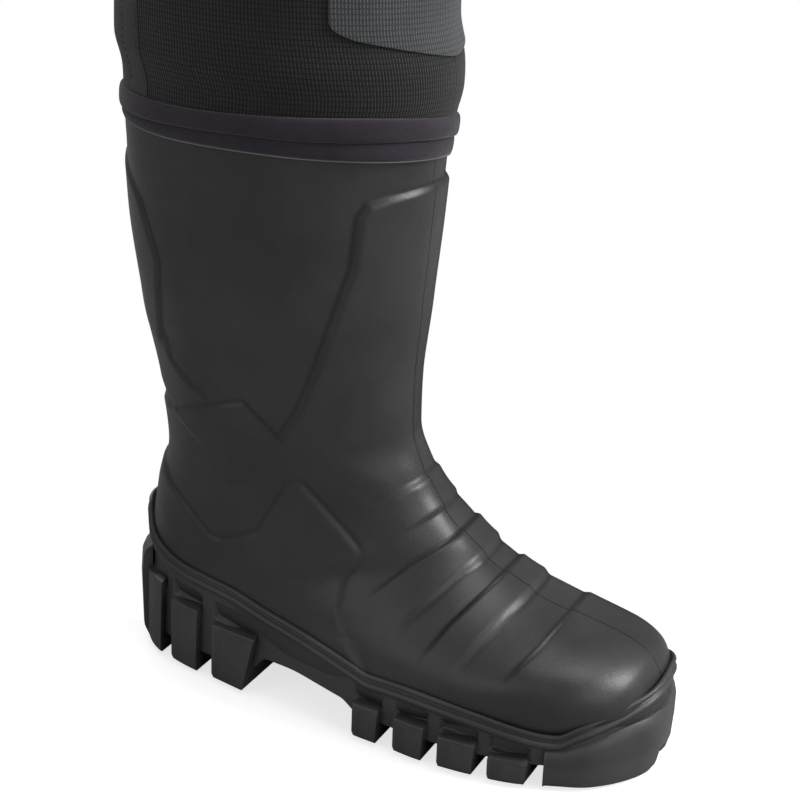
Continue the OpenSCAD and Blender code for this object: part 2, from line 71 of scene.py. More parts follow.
def pchip(x, y, t):
    """Shape-preserving cubic through (x, y); y may have several columns."""
    x, y, t = np.asarray(x, float), np.asarray(y, float), np.asarray(t, float)
    flat = y.ndim == 1
    y = y[:, None] if flat else y
    h = np.diff(x)[:, None]
    slope = np.diff(y, axis=0) / h
    m = np.zeros_like(y)
    same = slope[:-1] * slope[1:] > 0
    w1, w2 = 2 * h[1:] + h[:-1], h[1:] + 2 * h[:-1]
    with np.errstate(divide="ignore", invalid="ignore"):
        inner = (w1 + w2) / (w1 / slope[:-1] + w2 / slope[1:])
    m[1:-1] = np.where(same, inner, 0)
    m[0], m[-1] = slope[0], slope[-1]
    k = np.clip(np.searchsorted(x, t, side="right") - 1, 0, len(x) - 2)
    hk = h[k]
    s = ((t - x[k])[..., None]) / hk
    out = ((1 + 2 * s) * (1 - s) ** 2 * y[k] + s * (1 - s) ** 2 * hk * m[k]
           + s * s * (3 - 2 * s) * y[k + 1] + s * s * (s - 1) * hk * m[k + 1])
    return out[..., 0] if flat else out


def table(rows, z):
    rows = np.asarray(rows, float)
    return pchip(rows[:, 0], rows[:, 1], np.clip(z, rows[0, 0], rows[-1, 0]))


def bezier(p0, p1, p2, p3, t):
    return (1 - t) ** 3 * p0 + 3 * t * (1 - t) ** 2 * p1 + 3 * t * t * (1 - t) * p2 + t ** 3 * p3


def noise3(points, size, seed=0):
    """Smooth lattice noise from -1 to 1; size is the feature size in the points' own unit."""
    p = np.asarray(points, float) / size + 37.0 * seed
    base = np.floor(p).astype(np.int64)
    f = smooth(p - base)
    total = 0.0
    for corner in range(8):
        off = np.array([corner & 1, corner >> 1 & 1, corner >> 2 & 1])
        q = (base + off).astype(np.uint64) * np.array([73856093, 19349663, 83492791], np.uint64)
        h = q[..., 0] ^ q[..., 1] ^ q[..., 2]
        h = (h ^ (h >> np.uint64(13))) * np.uint64(1274126177)
        value = ((h >> np.uint64(8)) & np.uint64(0xFFFF)).astype(float) / 32767.5 - 1
        total = total + value * np.prod(np.where(off == 1, f, 1 - f), axis=-1)
    return total


def power(v, e):
    return np.sign(v) * np.abs(v) ** e


def unit(v):
    return v / np.maximum(np.linalg.norm(v, axis=-1, keepdims=True), 1e-9)


def grid_normals(P, wrap):
    """Unit normals of a grid of points; columns wrap round when wrap is true."""
    du = np.roll(P, -1, 1) - np.roll(P, 1, 1) if wrap else np.gradient(P, axis=1)
    return unit(np.cross(du, np.gradient(P, axis=0)))


def distances(path):
    """Distance along a path to each of its points."""
    return np.concatenate([[0], np.cumsum(np.linalg.norm(np.diff(path, axis=0), axis=1))])


def curve_through(points, count):
    points = np.asarray(points, float)
    at = distances(points)
    return pchip(at, points, np.linspace(0, at[-1], count))


def round_angles(count):
    """Angles in degrees, evenly spaced round a full turn."""
    return np.arange(count) * 360 / count


def sheet_uv(u, v):
    """Coordinates of a grid with u along its rows and v up its columns."""
    return np.stack(np.broadcast_arrays(u[None, :], v[:, None]), -1)


def arc_uv(P, wrap):
    """Distances over a grid in millimetres: along its middle row, and up its columns on average."""
    Q = np.concatenate([P, P[:, :1]], 1) if wrap else P
    step_v = np.linalg.norm(np.diff(Q, axis=0), axis=-1).mean(1)
    return sheet_uv(distances(Q[len(Q) // 2]), np.concatenate([[0], np.cumsum(step_v)]))


def repeat_first(rows):
    return np.concatenate([rows, rows[:1]])


# ---- meshes
def new_object(name, verts, faces, material=None):
    mesh = bpy.data.meshes.new(name)
    mesh.from_pydata([tuple(v) for v in np.asarray(verts, float) * MM], [], faces)
    mesh.validate()
    mesh.shade_smooth()
    obj = bpy.data.objects.new(name, mesh)
    bpy.context.scene.collection.objects.link(obj)
    if material:
        mesh.materials.append(material)
    return obj


def set_uv(obj, coords):
    """Sets the UV map corner by corner, from millimetres."""
    layer = obj.data.uv_layers.new(name="UVMap")
    values = np.zeros((len(obj.data.loops), 2))
    values[:len(coords)] = np.asarray(coords) * MM
    layer.data.foreach_set("uv", values.astype(np.float32).ravel())


def grid_object(name, P, material, side="left", wrap=False, uv=None, caps=(), attributes=None):
    """A sheet of quads from a rows x columns grid of points. uv is rows x (columns + wrap) x 2, in
    millimetres. caps lists the rows (0 or -1) of a wrapped grid that are closed with one face."""
    rows, cols = P.shape[:2]
    verts = P.reshape(-1, 3).copy()
    flip = side == "right"
    if flip:
        verts[:, 0] *= -1
    jn = cols if wrap else cols - 1
    i, j = np.meshgrid(np.arange(rows - 1), np.arange(jn), indexing="ij")
    i, j = i.ravel(), j.ravel()
    k = (j + 1) % cols
    quads = np.stack([i * cols + j, i * cols + k, (i + 1) * cols + k, (i + 1) * cols + j], 1)
    uv_index = np.stack([i, j, i, j + 1, i + 1, j + 1, i + 1, j], 1).reshape(-1, 4, 2)
    if flip:
        quads = quads[:, ::-1]
        uv_index = uv_index[:, ::-1]
    faces = quads.tolist()
    for cap in caps:
        loop = [cap % rows * cols + c for c in range(cols)]
        faces.append(loop[::-1] if (cap == 0) != flip else loop)
    obj = new_object(name, verts, faces, material)
    if uv is not None:
        set_uv(obj, uv[uv_index[..., 0], uv_index[..., 1]].reshape(-1, 2))
    for key, value in (attributes or {}).items():
        layer = obj.data.attributes.new(key, "FLOAT", "POINT")
        layer.data.foreach_set("value", np.asarray(value, np.float32).ravel())
    return obj


def thicken(obj, amount):
    mod = obj.modifiers.new("thickness", "SOLIDIFY")
    mod.thickness = amount * MM
    mod.offset = -1.0
    mod.use_even_offset = False


def bevel(obj, width, segments=2, angle=35):
    mod = obj.modifiers.new("edges", "BEVEL")
    mod.width = width * MM
    mod.segments = segments
    mod.limit_method = "ANGLE"
    mod.angle_limit = math.radians(angle)
    mod.harden_normals = False


def weighted_normals(obj):
    obj.modifiers.new("normals", "WEIGHTED_NORMAL")


def cloth_shell(name, P, uv, material, thickness, side="left", wrap=False, edge=0.7):
    """A sheet with thickness towards the wearer and softly rounded edges."""
    obj = grid_object(name, P, material, side, wrap, uv)
    thicken(obj, thickness)
    bevel(obj, edge, 2, 50)
    weighted_normals(obj)
    return obj


def fix_normals(obj, weld=False):
    bm = bmesh.new()
    bm.from_mesh(obj.data)
    if weld:
        bmesh.ops.remove_doubles(bm, verts=bm.verts, dist=1e-6)
    bmesh.ops.recalc_face_normals(bm, faces=bm.faces)
    bm.to_mesh(obj.data)
    bm.free()


def place(obj, body, slot, *nodes):
    """Rides obj on a body and lets it stand for CAD nodes. slot is not used."""
    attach(obj, body)
    if nodes:
        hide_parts(*nodes)


def once(side, *nodes):
    """Nodes that hold both sides: the left piece stands for them."""
    return nodes if side == "left" else ()


# ---- materials
def is_socket(value):
    return isinstance(value, bpy.types.NodeSocket)


class Shader:
    """A small wrapper that adds nodes and links them by input name."""

    def __init__(self, name):
        self.material = bpy.data.materials.new(name)
        self.material.use_nodes = True
        self.tree = self.material.node_tree
        self.tree.nodes.clear()

    def add(self, kind, inputs=None, **props):
        node = self.tree.nodes.new(kind)
        for key, value in props.items():
            setattr(node, key, value)
        for key, value in (inputs or {}).items():
            if is_socket(value):
                self.tree.links.new(value, node.inputs[key])
            else:
                node.inputs[key].default_value = value
        return node

    def math(self, operation, a, b=0.0):
        return self.add("ShaderNodeMath", {0: a, 1: b}, operation=operation).outputs[0]

    def times(self, a, b):
        return self.math("MULTIPLY", a, b)

    def plus(self, a, b):
        return self.math("ADD", a, b)

    def cosine(self, distance, pitch):
        """A wave that repeats every pitch millimetres."""
        return self.math("COSINE", self.times(distance, 2000 * math.pi / pitch))

    def ramp(self, value, low, high, to_low=0.0, to_high=1.0):
        node = self.add("ShaderNodeMapRange", {"Value": value, "From Min": low, "From Max": high,
                                               "To Min": to_low, "To Max": to_high})
        node.interpolation_type = "SMOOTHSTEP"
        return node.outputs["Result"]

    def mix(self, factor, a, b):
        return self.add("ShaderNodeMix", {0: factor, 6: a, 7: b}, data_type="RGBA").outputs[2]

    def noise(self, scale, detail=3.0, roughness=0.55):
        vector = self.add("ShaderNodeTexCoord").outputs["Object"]
        return self.add("ShaderNodeTexNoise", {"Vector": vector, "Scale": scale, "Detail": detail,
                                               "Roughness": roughness}).outputs[0]

    def patches(self, scale, detail, low, high, most=1.0):
        """Soft blotches from 0 to most; scale counts them per metre."""
        return self.ramp(self.noise(scale, detail), low, high, 0.0, most)

    def worn_edges(self, low, high, most):
        edges = self.add("ShaderNodeNewGeometry").outputs["Pointiness"]
        return self.ramp(edges, low, high, 0.0, most)

    def uneven(self, middle, scale, detail, spread, roughness=0.55):
        """A value that wanders round middle by half of spread either way."""
        return self.plus(self.times(self.noise(scale, detail, roughness), spread), middle)

    def attribute(self, name):
        return self.add("ShaderNodeAttribute", attribute_name=name).outputs["Fac"]

    def uv(self):
        split = self.add("ShaderNodeSeparateXYZ", {0: self.add("ShaderNodeTexCoord").outputs["UV"]})
        return split.outputs[0], split.outputs[1]

    def bump(self, height, distance, normal=None):
        inputs = {"Height": height, "Distance": distance, "Strength": 1.0}
        if normal is not None:
            inputs["Normal"] = normal
        return self.add("ShaderNodeBump", inputs).outputs[0]

    def finish(self, **inputs):
        names = {"color": "Base Color", "roughness": "Roughness", "normal": "Normal", "metallic": "Metallic",
                 "sheen": "Sheen Weight", "sheen_roughness": "Sheen Roughness",
                 "specular": "Specular IOR Level"}
        surface = self.add("ShaderNodeBsdfPrincipled", {names[k]: v for k, v in inputs.items()})
        self.add("ShaderNodeOutputMaterial", {"Surface": surface.outputs[0]})
        return self.material


def grey(value):
    return (value, value, value, 1.0)


def shade(color, factor):
    """A colour made lighter or darker."""
    return tuple(c * factor for c in color[:3]) + (1.0,)


def srgb(r, g, b):
    """A colour in Blender's linear values from shades of 255, all above 10."""
    return tuple(((c / 255 + 0.055) / 1.055) ** 2.4 for c in (r, g, b)) + (1.0,)


def moulded_foam(name, color, rough=0.42, seam=False, dust=0.0):
    """Moulded EVA or rubber: orange-peel grain, slow tone changes, a mould seam and painted shade in the
    corners of the relief where asked.
    """
    s = Shader(name)
    slow = s.noise(22, 4)
    fine = s.noise(1300, 2)
    mottled = s.noise(260, 3)
    tone = s.mix(s.ramp(slow, 0.3, 0.7), shade(color, 0.82), shade(color, 1.28))
    tone = s.mix(s.ramp(fine, 0.35, 0.75, 0.0, 0.35), tone, shade(color, 1.5))
    if dust:
        height = s.add("ShaderNodeSeparateXYZ", {0: s.add("ShaderNodeTexCoord").outputs["Object"]}).outputs[2]
        low = s.times(s.ramp(height, 0.0, 0.035, 1.0, 0.0), s.patches(90, 5, 0.4, 0.75))
        tone = s.mix(s.times(low, dust), tone, srgb(92, 86, 78))
    tone = s.mix(s.worn_edges(0.515, 0.56, 0.35), tone, shade(color, 1.9))
    normal = s.bump(mottled, 0.00010, s.bump(fine, 0.00006))
    if seam:
        # painted shade: near black where the corner attribute marks the foot of a moulded step
        tone = s.mix(s.times(s.attribute("corner"), 0.8), tone, grey(0.006))
        line = s.attribute("seam")
        wave = s.times(s.math("SUBTRACT", s.noise(60, 2), 0.5), 1.6)
        inside = s.ramp(s.math("ABSOLUTE", s.plus(line, wave)), 0.25, 0.75, 1.0, 0.0)
        tone = s.mix(s.times(inside, 0.75), tone, grey(0.004))
        normal = s.bump(inside, -0.0006, normal)
    return s.finish(color=tone, roughness=s.uneven(rough - 0.07, 45, 4, 0.14), normal=normal, specular=0.42)


def rib_knit(name, color, contrast, depth=0.35):
    """Knitted face of neoprene: upright ribs cut by finer rows, slightly irregular, with painted shade in the
    grooves and painted highlights on the ribs.
    """
    s = Shader(name)
    u, v = s.uv()
    wander = s.times(s.math("SUBTRACT", s.noise(120, 2), 0.5), 0.0008)
    columns = s.cosine(s.plus(u, wander), RIB_COLUMN)
    rows = s.cosine(s.plus(v, wander), RIB_ROW)
    height = s.times(s.ramp(columns, -0.45, 0.8), s.ramp(rows, -0.95, -0.1, 0.12, 1.0))
    yarn = s.noise(2600, 2)
    # painted shade in the grooves and painted highlight on the ribs, by contrast either way
    dark = shade(color, 1 - contrast)
    tone = s.mix(height, dark, shade(color, 1 + contrast))
    tone = s.mix(s.ramp(yarn, 0.4, 0.7, 0.0, 0.35), tone, shade(color, 2.0))
    tone = s.mix(s.patches(30, 4, 0.35, 0.7, 0.3), tone, dark)
    normal = s.bump(yarn, 0.0001, s.bump(height, depth * MM))
    return s.finish(color=tone, roughness=0.82, normal=normal, sheen=0.15, sheen_roughness=0.5, specular=0.25)


def felted_tape(name, color):
    """Stretch seam tape with a felted face and faint upright lines."""
    s = Shader(name)
    u, _ = s.uv()
    lines = s.ramp(s.cosine(u, 0.9), -0.5, 0.9)
    fibre = s.noise(3200, 3, 0.7)
    tone = s.mix(s.ramp(fibre, 0.35, 0.7), shade(color, 0.62), shade(color, 1.45))
    tone = s.mix(s.patches(70, 3, 0.4, 0.7, 0.4), tone, shade(color, 0.7))
    normal = s.bump(lines, 0.00006, s.bump(fibre, 0.0002))
    return s.finish(color=tone, roughness=0.9, normal=normal, sheen=0.25, sheen_roughness=0.4, specular=0.2)


def webbing(name, color, rib=1.6):
    """Woven webbing: herringbone ribs across the strap, with denser edges."""
    s = Shader(name)
    u, v = s.uv()
    zig = s.math("ABSOLUTE", s.math("SUBTRACT", s.math("FRACT", s.times(u, 1000 / 8.0)), 0.5))
    phase = s.plus(s.times(v, 2000 * math.pi / rib), s.times(zig, 22))
    weave = s.ramp(s.math("COSINE", phase), -0.8, 0.7)
    thread = s.ramp(s.cosine(u, 0.7), -0.9, 0.6, 0.5, 1.0)
    height = s.times(weave, thread)
    # painted shade in the hollows of the weave and painted highlight on its raised threads
    dark = shade(color, 0.5)
    tone = s.mix(height, dark, shade(color, 1.5))
    tone = s.mix(s.patches(90, 3, 0.4, 0.75, 0.3), tone, dark)
    return s.finish(color=tone, roughness=0.68, normal=s.bump(height, 0.0003), sheen=0.1, specular=0.35)


def woven_nylon(name, color):
    """Plain-weave pocket cloth with a light ripstop grid."""
    s = Shader(name)
    u, v = s.uv()
    weave = s.ramp(s.times(s.cosine(u, 0.9), s.cosine(v, 0.9)), -0.8, 0.8)
    grid = s.math("MAXIMUM", *(s.ramp(s.cosine(way, 7), 0.93, 0.99) for way in (u, v)))
    # painted shade in the hollows of the weave and painted highlight on its raised threads
    tone = s.mix(weave, shade(color, 0.6), shade(color, 1.4))
    tone = s.mix(s.times(grid, 0.5), tone, shade(color, 2))
    normal = s.bump(grid, 0.0002, s.bump(weave, 0.00015))
    normal = s.bump(s.noise(55, 3), 0.0012, normal)
    return s.finish(color=tone, roughness=0.62, normal=normal, sheen=0.1, specular=0.35)


def moulded_plastic(name, color):
    s = Shader(name)
    grain = s.noise(1800, 2)
    tone = s.mix(s.patches(40, 3, 0.35, 0.7), color, shade(color, 1.3))
    tone = s.mix(s.worn_edges(0.53, 0.6, 0.5), tone, shade(color, 3))
    rough = s.uneven(0.30, 300, 3, 0.16)
    return s.finish(color=tone, roughness=rough, normal=s.bump(grain, 0.00008), specular=0.5)


def plated_metal(name, color, rough=0.28):
    s = Shader(name)
    scratch = s.noise(700, 4, 0.7)
    tone = s.mix(s.patches(120, 3, 0.35, 0.7), color, shade(color, 0.75))
    uneven = s.plus(s.times(scratch, 0.25), rough - 0.1)
    return s.finish(color=tone, roughness=uneven, metallic=1.0, normal=s.bump(scratch, 0.00002))


def thread_material(name, color):
    s = Shader(name)
    twist = s.noise(4000, 2)
    tone = s.mix(twist, shade(color, 0.6), shade(color, 1.5))
    return s.finish(color=tone, roughness=0.6, normal=s.bump(twist, 0.0001), specular=0.3)


RIB_COLUMN, RIB_ROW = 1.75, 2.5
BOOT_FOAM = moulded_foam("boot_foam", srgb(41, 41, 41), 0.42, seam=True)
SOLE_RUBBER = moulded_foam("sole_rubber", srgb(52, 52, 52), 0.46, dust=0.06)
KNIT_BLACK = rib_knit("knit_black", srgb(30, 30, 31), 0.8)
KNIT_GREY = rib_knit("knit_grey", srgb(66, 69, 71), 0.55, depth=0.3)
STRIPE = felted_tape("stripe_grey", srgb(49, 50, 50))
TAPE = felted_tape("seam_tape", srgb(50, 45, 53))
LINING = felted_tape("lining_felt", srgb(70, 70, 72))
FOOTBED = felted_tape("footbed_felt", srgb(120, 122, 124))
WEBBING = webbing("webbing_black", srgb(38, 38, 40))
ELASTIC = webbing("elastic_black", srgb(42, 42, 45), rib=2.4)
POCKET = woven_nylon("pocket_nylon", srgb(34, 34, 36))
PLASTIC = moulded_plastic("buckle_acetal", srgb(24, 24, 25))
PLASTIC_GREY = moulded_plastic("button_acetal", srgb(84, 86, 90))
METAL = plated_metal("nickel_plate", (0.46, 0.47, 0.48, 1.0))
WIRE = plated_metal("spring_wire", (0.6, 0.61, 0.62, 1.0), 0.2)
THREAD = thread_material("black_thread", srgb(58, 58, 62))
ZIP_CLOTH = webbing("zip_tape_weave", srgb(30, 30, 32), rib=1.1)
BOND = moulded_foam("bond_adhesive", srgb(92, 90, 90), 0.5)
CORD = webbing("cord_braid", srgb(62, 62, 66), rib=1.5)


# ---- boot surface
# front u, front z, back u, back z, outer half width, squareness in front, squareness behind, outward shift,
# inner half width, squareness of the inner side in front
BOOT = np.array([
    [163.2, 314, -9.0, 314, 64.5, 2, 2, 0, 65.5, 2.1], [162.2, 302.2, -10, 303, 63.5, 2, 2, 0, 65, 2.2],
    [159.6, 261, -8.5, 258, 61.5, 2, 2, 0, 63.5, 2.3], [157, 220, -1, 212, 60.5, 2, 2, 0, 61, 2.2],
    [154.5, 180, 10, 165, 55, 2, 2, 0, 57.5, 2], [155.5, 153, 14.5, 128, 49, 2, 2.1, 0, 53, 2],
    [162.8, 133, 8.5, 100, 45.5, 2, 2.2, 1, 50.5, 2.3], [174.5, 115, 4, 70, 42.5, 2, 2.25, 1, 51, 2.8],
    [192, 98.5, 5, 45, 41, 2, 2.4, 2.5, 51.5, 3.4], [213, 85.7, 47, 30, 44.5, 2.1, 2.8, 4, 52, 3.3],
    [236, 76, 113, 18, 51.5, 2.2, 3.5, 5.5, 55.5, 3], [259, 71.2, 180, 14, 56, 2.3, 4.2, 6.5, 57, 2.6],
    [279, 67, 230, 14, 54, 2.4, 4.2, 4.5, 54, 2.3], [294.5, 59.5, 268, 17, 44, 2.3, 3.4, 2.5, 44, 2.3],
    [303, 46, 294, 24, 27, 2.1, 2.6, 0.8, 27, 2.2], [307, 40, 306, 33, 6, 2, 2, 0, 6, 2]])


def boot_grid(rows, cols, inset=0.0, first=0.0, last=len(BOOT) - 1.0):
    """Points of the boot in (u, outward, z), where u runs from heel to toe. Column 0 is the front seam."""
    stations = np.arange(len(BOOT))
    t = np.linspace(first, last, 400)
    s = pchip(stations, BOOT, t)
    middle = (s[:, :2] + s[:, 2:4]) / 2
    steps = [np.linalg.norm(np.diff(line, axis=0), axis=1) for line in (s[:, :2], middle)]
    reach = np.concatenate([[0], np.cumsum(np.maximum(*steps))])
    t = np.interp(np.linspace(0, reach[-1], rows), reach, t)
    s = pchip(stations, BOOT, t)[:, None, :]
    phi = np.linspace(0, 2 * np.pi, cols, endpoint=False)[None, :]
    front, back = s[..., :2], s[..., 2:4]
    middle = (front + back) / 2
    half = np.linalg.norm(front - back, axis=-1) / 2
    direction = (front - back) / (2 * half[..., None])
    inner = np.sin(phi) < 0
    exponent = 2 / np.where(np.cos(phi) >= 0, np.where(inner, s[..., 9], s[..., 5]), s[..., 6])
    along = np.maximum(half - inset, 0.5) * power(np.cos(phi), exponent)
    across = np.maximum(np.where(inner, s[..., 8], s[..., 4]) - inset, 0.5) * power(np.sin(phi), exponent)
    uz = middle + direction * along[..., None]
    return np.stack([uz[..., 0], across + s[..., 7], uz[..., 1]], -1)


# Rows and columns of the boot's mesh and points round the sole: the right boot is nearest the camera
BOOT_MESH = {"right": (400, 420), "left": (260, 300)}
SOLE_MESH = {"right": 640, "left": 420}


def to_row(P):
    """(u, outward, z) to the shared frame, for the +X boot."""
    return np.stack([STANCE + P[..., 1], ANKLE - P[..., 0], P[..., 2]], -1)


def line_distance(points, line):
    """Signed distance in the (u, z) side view to an open line, positive on the left of its direction,
    and the share of the line's length at the nearest point."""
    line = np.asarray(line, float)
    start = distances(line)
    lengths = np.diff(start)
    best = np.full(points.shape[:-1], 1e9)
    sign = np.ones_like(best)
    share = np.zeros_like(best)
    last = len(lengths) - 1
    for k, (a, b) in enumerate(zip(line[:-1], line[1:])):
        d = (b - a) / lengths[k]
        rel = points - a
        s = rel @ d
        clipped = np.clip(s, -1e9 if k == 0 else 0, 1e9 if k == last else lengths[k])
        dist = np.linalg.norm(rel - clipped[..., None] * d, axis=-1)
        closer = dist < best
        best = np.where(closer, dist, best)
        sign = np.where(closer, np.sign(d[0] * rel[..., 1] - d[1] * rel[..., 0]), sign)
        share = np.where(closer, (start[k] + s) / start[-1], share)
    return best * sign, share


# Moulded steps on the side of the boot, as (line in u and z, height, width of the bevel, distance over which
# the raised side sinks back, shares of the line at which the step fades in and out). A positive height raises
# the left of the line, seen along its direction, and a negative one the right. Shares outside 0 to 1 keep an
# end of the line at its full height.
STEPS = [
    ([(168, 285.5), (150, 282), (143.5, 279.5), (140.2, 273), (138, 248), (128, 211), (123, 195), (115, 173),
      (103, 152)], 2.4, 2.2, 120, (-0.2, -0.1, 0.95, 1.03)),
    ([(103, 152), (84, 170.5), (65, 164.5), (39, 153), (22, 152)], 1.7, 2.0, 20, (-0.03, 0.03, 1.4, 1.6)),
    ([(128, 211), (123, 195), (115, 173), (103, 152)], -1.0, 1.6, 10, (0.0, 0.35, 0.97, 1.03)),
    ([(90, 128), (81, 124), (72, 123.4), (53, 141), (35, 152), (20, 163)],
     -0.9, 1.3, 10, (0.0, 0.12, 1.2, 1.4)),
    ([(2, 278), (18, 265), (28, 246), (32, 236), (31, 214), (29, 187)],
     -1.7, 2.2, 16, (-0.2, -0.1, 0.9, 1.02)),
    ([(31, 200), (37, 183), (52, 172), (66, 166)], -1.2, 1.8, 12, (0.0, 0.15, 0.85, 1.0)),
    ([(-20, 126), (10, 121), (28, 108), (44, 97), (58, 85), (66, 84), (74, 87), (89, 95.5), (98, 111),
      (107, 127), (114, 128)], -1.6, 1.9, 16, (-0.3, -0.2, 0.92, 1.0)),
    ([(109, 129), (114, 128), (130, 110), (147, 92)], -2.1, 2.8, 14, (-0.02, 0.12, 0.86, 1.02)),
    ([(146, 92), (139, 81), (139, 65), (146, 51), (161, 38)], -1.3, 2.2, 9, (-0.05, 0.15, 0.9, 1.1)),
    # edges of the raised bands over the instep, from the front seam to the side
    ([(172, 132), (160, 126), (152, 121), (141, 115)], 1.7, 2.6, 12, (-9, -8, 0.35, 1.0)),
    ([(180, 118), (176, 114), (168, 109), (157, 102)], -1.5, 2.2, 9, (-9, -8, 0.4, 1.05)),
    ([(190, 105), (184, 100), (170, 90), (159, 79), (149, 69)], 2.0, 1.5, 12, (-9, -8, 0.45, 1.0)),
    ([(204, 95), (196, 89), (187, 79), (178, 69), (170, 57)], -2.3, 3.0, 12, (-9, -8, 0.5, 1.05)),
    ([(216, 89), (209, 81), (201, 71), (188, 50)], 2.0, 1.6, 12, (-9, -8, 0.5, 1.0)),
    ([(233, 83), (225, 76), (217, 64), (210, 50)], -2.2, 3.0, 12, (-9, -8, 0.55, 1.05)),
    ([(253, 76), (248, 68), (242, 61), (235, 51)], 1.5, 2.0, 16, (-9, -8, 0.5, 1.0)),
]


def boot_relief(P):
    """Height of the moulded relief over the plain boot, and how deep each point lies in a corner, a mask for
    painted shade at the foot of each step.
    """
    side = P[..., [0, 2]]
    height = np.zeros(P.shape[:-1])
    corner = np.zeros(P.shape[:-1])
    for line, rise, width, reach, (a0, a1, b0, b1) in STEPS:
        d, share = line_distance(side, line)
        d = d if rise > 0 else -d
        fade = smooth((share - a0) / (a1 - a0)) * (1 - smooth((share - b0) / (b1 - b0)))
        height += abs(rise) * (smooth(d / width * 0.5 + 0.5) - 0.5) * np.exp(-np.abs(d) / reach) * fade
        # mask for painted shade along the foot of the step
        corner += bell(d, -width * 0.75, 1.1) * fade * min(1.0, abs(rise) / 1.8)
    return height, np.clip(corner, 0, 1)


def build_boot(side):
    P = boot_grid(*BOOT_MESH[side])
    n = grid_normals(P, True)
    if (n[..., 1] * P[..., 1]).sum() < 0:
        n = -n
    slow = noise3(P, 46, 3) * 0.35 + noise3(P, 19, 5) * 0.12
    height, corner = boot_relief(P)
    P = P + n * (height + slow)[..., None]
    seam = np.where(P[..., 0] > 100, P[..., 1] - 0.4, 50.0)
    # the corner attribute carries the mask of painted shade at the foot of the moulded steps
    obj = grid_object("boot_upper_" + side, to_row(P), BOOT_FOAM, side, True, caps=(-1,),
                      attributes={"seam": seam, "corner": corner})
    place(obj, "shin_" + side, "boot_rubber", "boot_shell_" + side)
    return P


# ---- outsole
# Outline of the sole in (u, outward), and the height of its rim at each u
OUTLINE = np.array([
    (-4, 0), (-2.5, 9), (2, 17), (10, 24), (22, 30), (38, 34), (56, 37), (80, 40), (110, 45), (140, 54),
    (169, 62), (195, 67), (222, 66), (248, 58), (268, 48), (286, 33), (298, 15), (304.5, 0), (306.5, -14),
    (303.5, -27), (294, -39), (282, -50), (258, -55), (228, -56), (196, -54), (160, -48), (120, -42),
    (80, -38), (46, -36), (20, -30), (4, -20), (-2.5, -9)], float)
RIM = [(-5, 84), (4, 81), (10, 71), (22, 65), (38, 61.5), (56, 60), (74, 58), (95, 53), (125, 47),
       (153, 40.5), (164, 38), (190, 38.5), (221, 36), (243, 32.5), (266, 29.5), (276, 35), (290, 42),
       (298, 46), (305, 49.5), (310, 56), (314, 60)]
# (outward, below the rim) for the bead that covers the boot's edge, the groove under it and the lip
LIP = [(-9, 8), (-5, 3.5), (-3.1, 0.7), (-2.4, -0.7), (-1.4, -1.3), (-0.4, -1.0), (0.1, -0.1), (-0.1, 0.9),
       (-1.2, 1.6), (-1.7, 2.2), (-1.2, 2.9), (0.0, 3.4), (0.7, 4.2), (0.8, 5.2), (0.3, 6.2), (-0.8, 7.1),
       (-1.5, 8.3)]
WALL, WALL_TOP = LIP[-1]    # outward place of the wall of the sole, and its top below the rim
CLEAT_DEPTH = 13.0
CLEAT_OUT = 2.4             # how far the cleats stand out from the lip
POCKET_IN = 3.4             # depth of the recess moulded above each cleat
# (start, end along the sole, lean of the side that faces the toe), for the heel and then the forefoot
CLEATS = [(-6, 24, 1), (33, 52, 1), (63, 84, 9),
          (156.5, 171, 1), (181.5, 198.5, 1), (207.5, 226.5, 1), (234.5, 253.5, 1)]
INSIDE_END = 4.0            # how close the cleats come to the centre line
TOE_START = 261.0


def closed_curve(points, count):
    """Evenly spaced points along a closed smooth curve."""
    n = len(points)
    fine = []
    for k in range(n):
        a, b, c, d = (points[(k + o) % n] for o in (-1, 0, 1, 2))
        for t in np.linspace(0, 1, 20, endpoint=False):
            fine.append(0.5 * ((2 * b) + (c - a) * t + (2 * a - 5 * b + 4 * c - d) * t * t
                               + (3 * b - a - 3 * c + d) * t ** 3))
    fine = np.array(fine + [fine[0]])
    length = distances(fine)
    at = np.linspace(0, length[-1], count, endpoint=False)
    return np.stack([np.interp(at, length, fine[:, i]) for i in range(2)], 1)


def curve_normals(points):
    """Outward normals of a closed flat curve."""
    tangent = np.roll(points, -1, 0) - np.roll(points, 1, 0)
    tangent /= np.linalg.norm(tangent, axis=1, keepdims=True)
    normal = np.stack([-tangent[:, 1], tangent[:, 0]], 1)
    return -normal if ((points - points.mean(0)) * normal).sum() < 0 else normal


def smooth_ring(values, passes):
    for _ in range(passes):
        values = (np.roll(values, 1) + np.roll(values, -1) + 2 * values) / 4
    return values


def fit_outline(boot, count):
    """The sole's outline, moved in or out so that its lip lies against the boot all the way round."""
    points = closed_curve(OUTLINE, count)
    normals = curve_normals(points)
    rim = table(RIM, points[:, 0])
    cloud = boot.reshape(-1, 3)[::2]
    cloud = cloud[cloud[:, 2] < 96]
    push = np.full(count, np.nan)
    tangent = np.stack([normals[:, 1], -normals[:, 0]], 1)
    for k in range(count):
        rel = cloud[:, :2] - points[k]
        out = rel @ normals[k]
        near = (np.abs(rel @ tangent[k]) < 3) & (np.abs(cloud[:, 2] - rim[k]) < 3) & (np.abs(out) < 20)
        if near.any():
            push[k] = max(out[near].max() + 1.7, -3)
    known = ~np.isnan(push)
    at = np.arange(count)
    push = np.interp(at, at[known], push[known], period=count)
    push = smooth_ring(np.clip(push, -8, 8), 30)
    points = points + normals * push[:, None]
    return points, curve_normals(points)


def cleat_top(u):
    """Height at which the recess above a cleat ends, below the rim."""
    return np.minimum(np.where(u < 100, table(RIM, u) - 13, table(RIM, u) - 9.5), 56)


def recess_height(u):
    return np.where(u < 100, 8.5, 7.0)


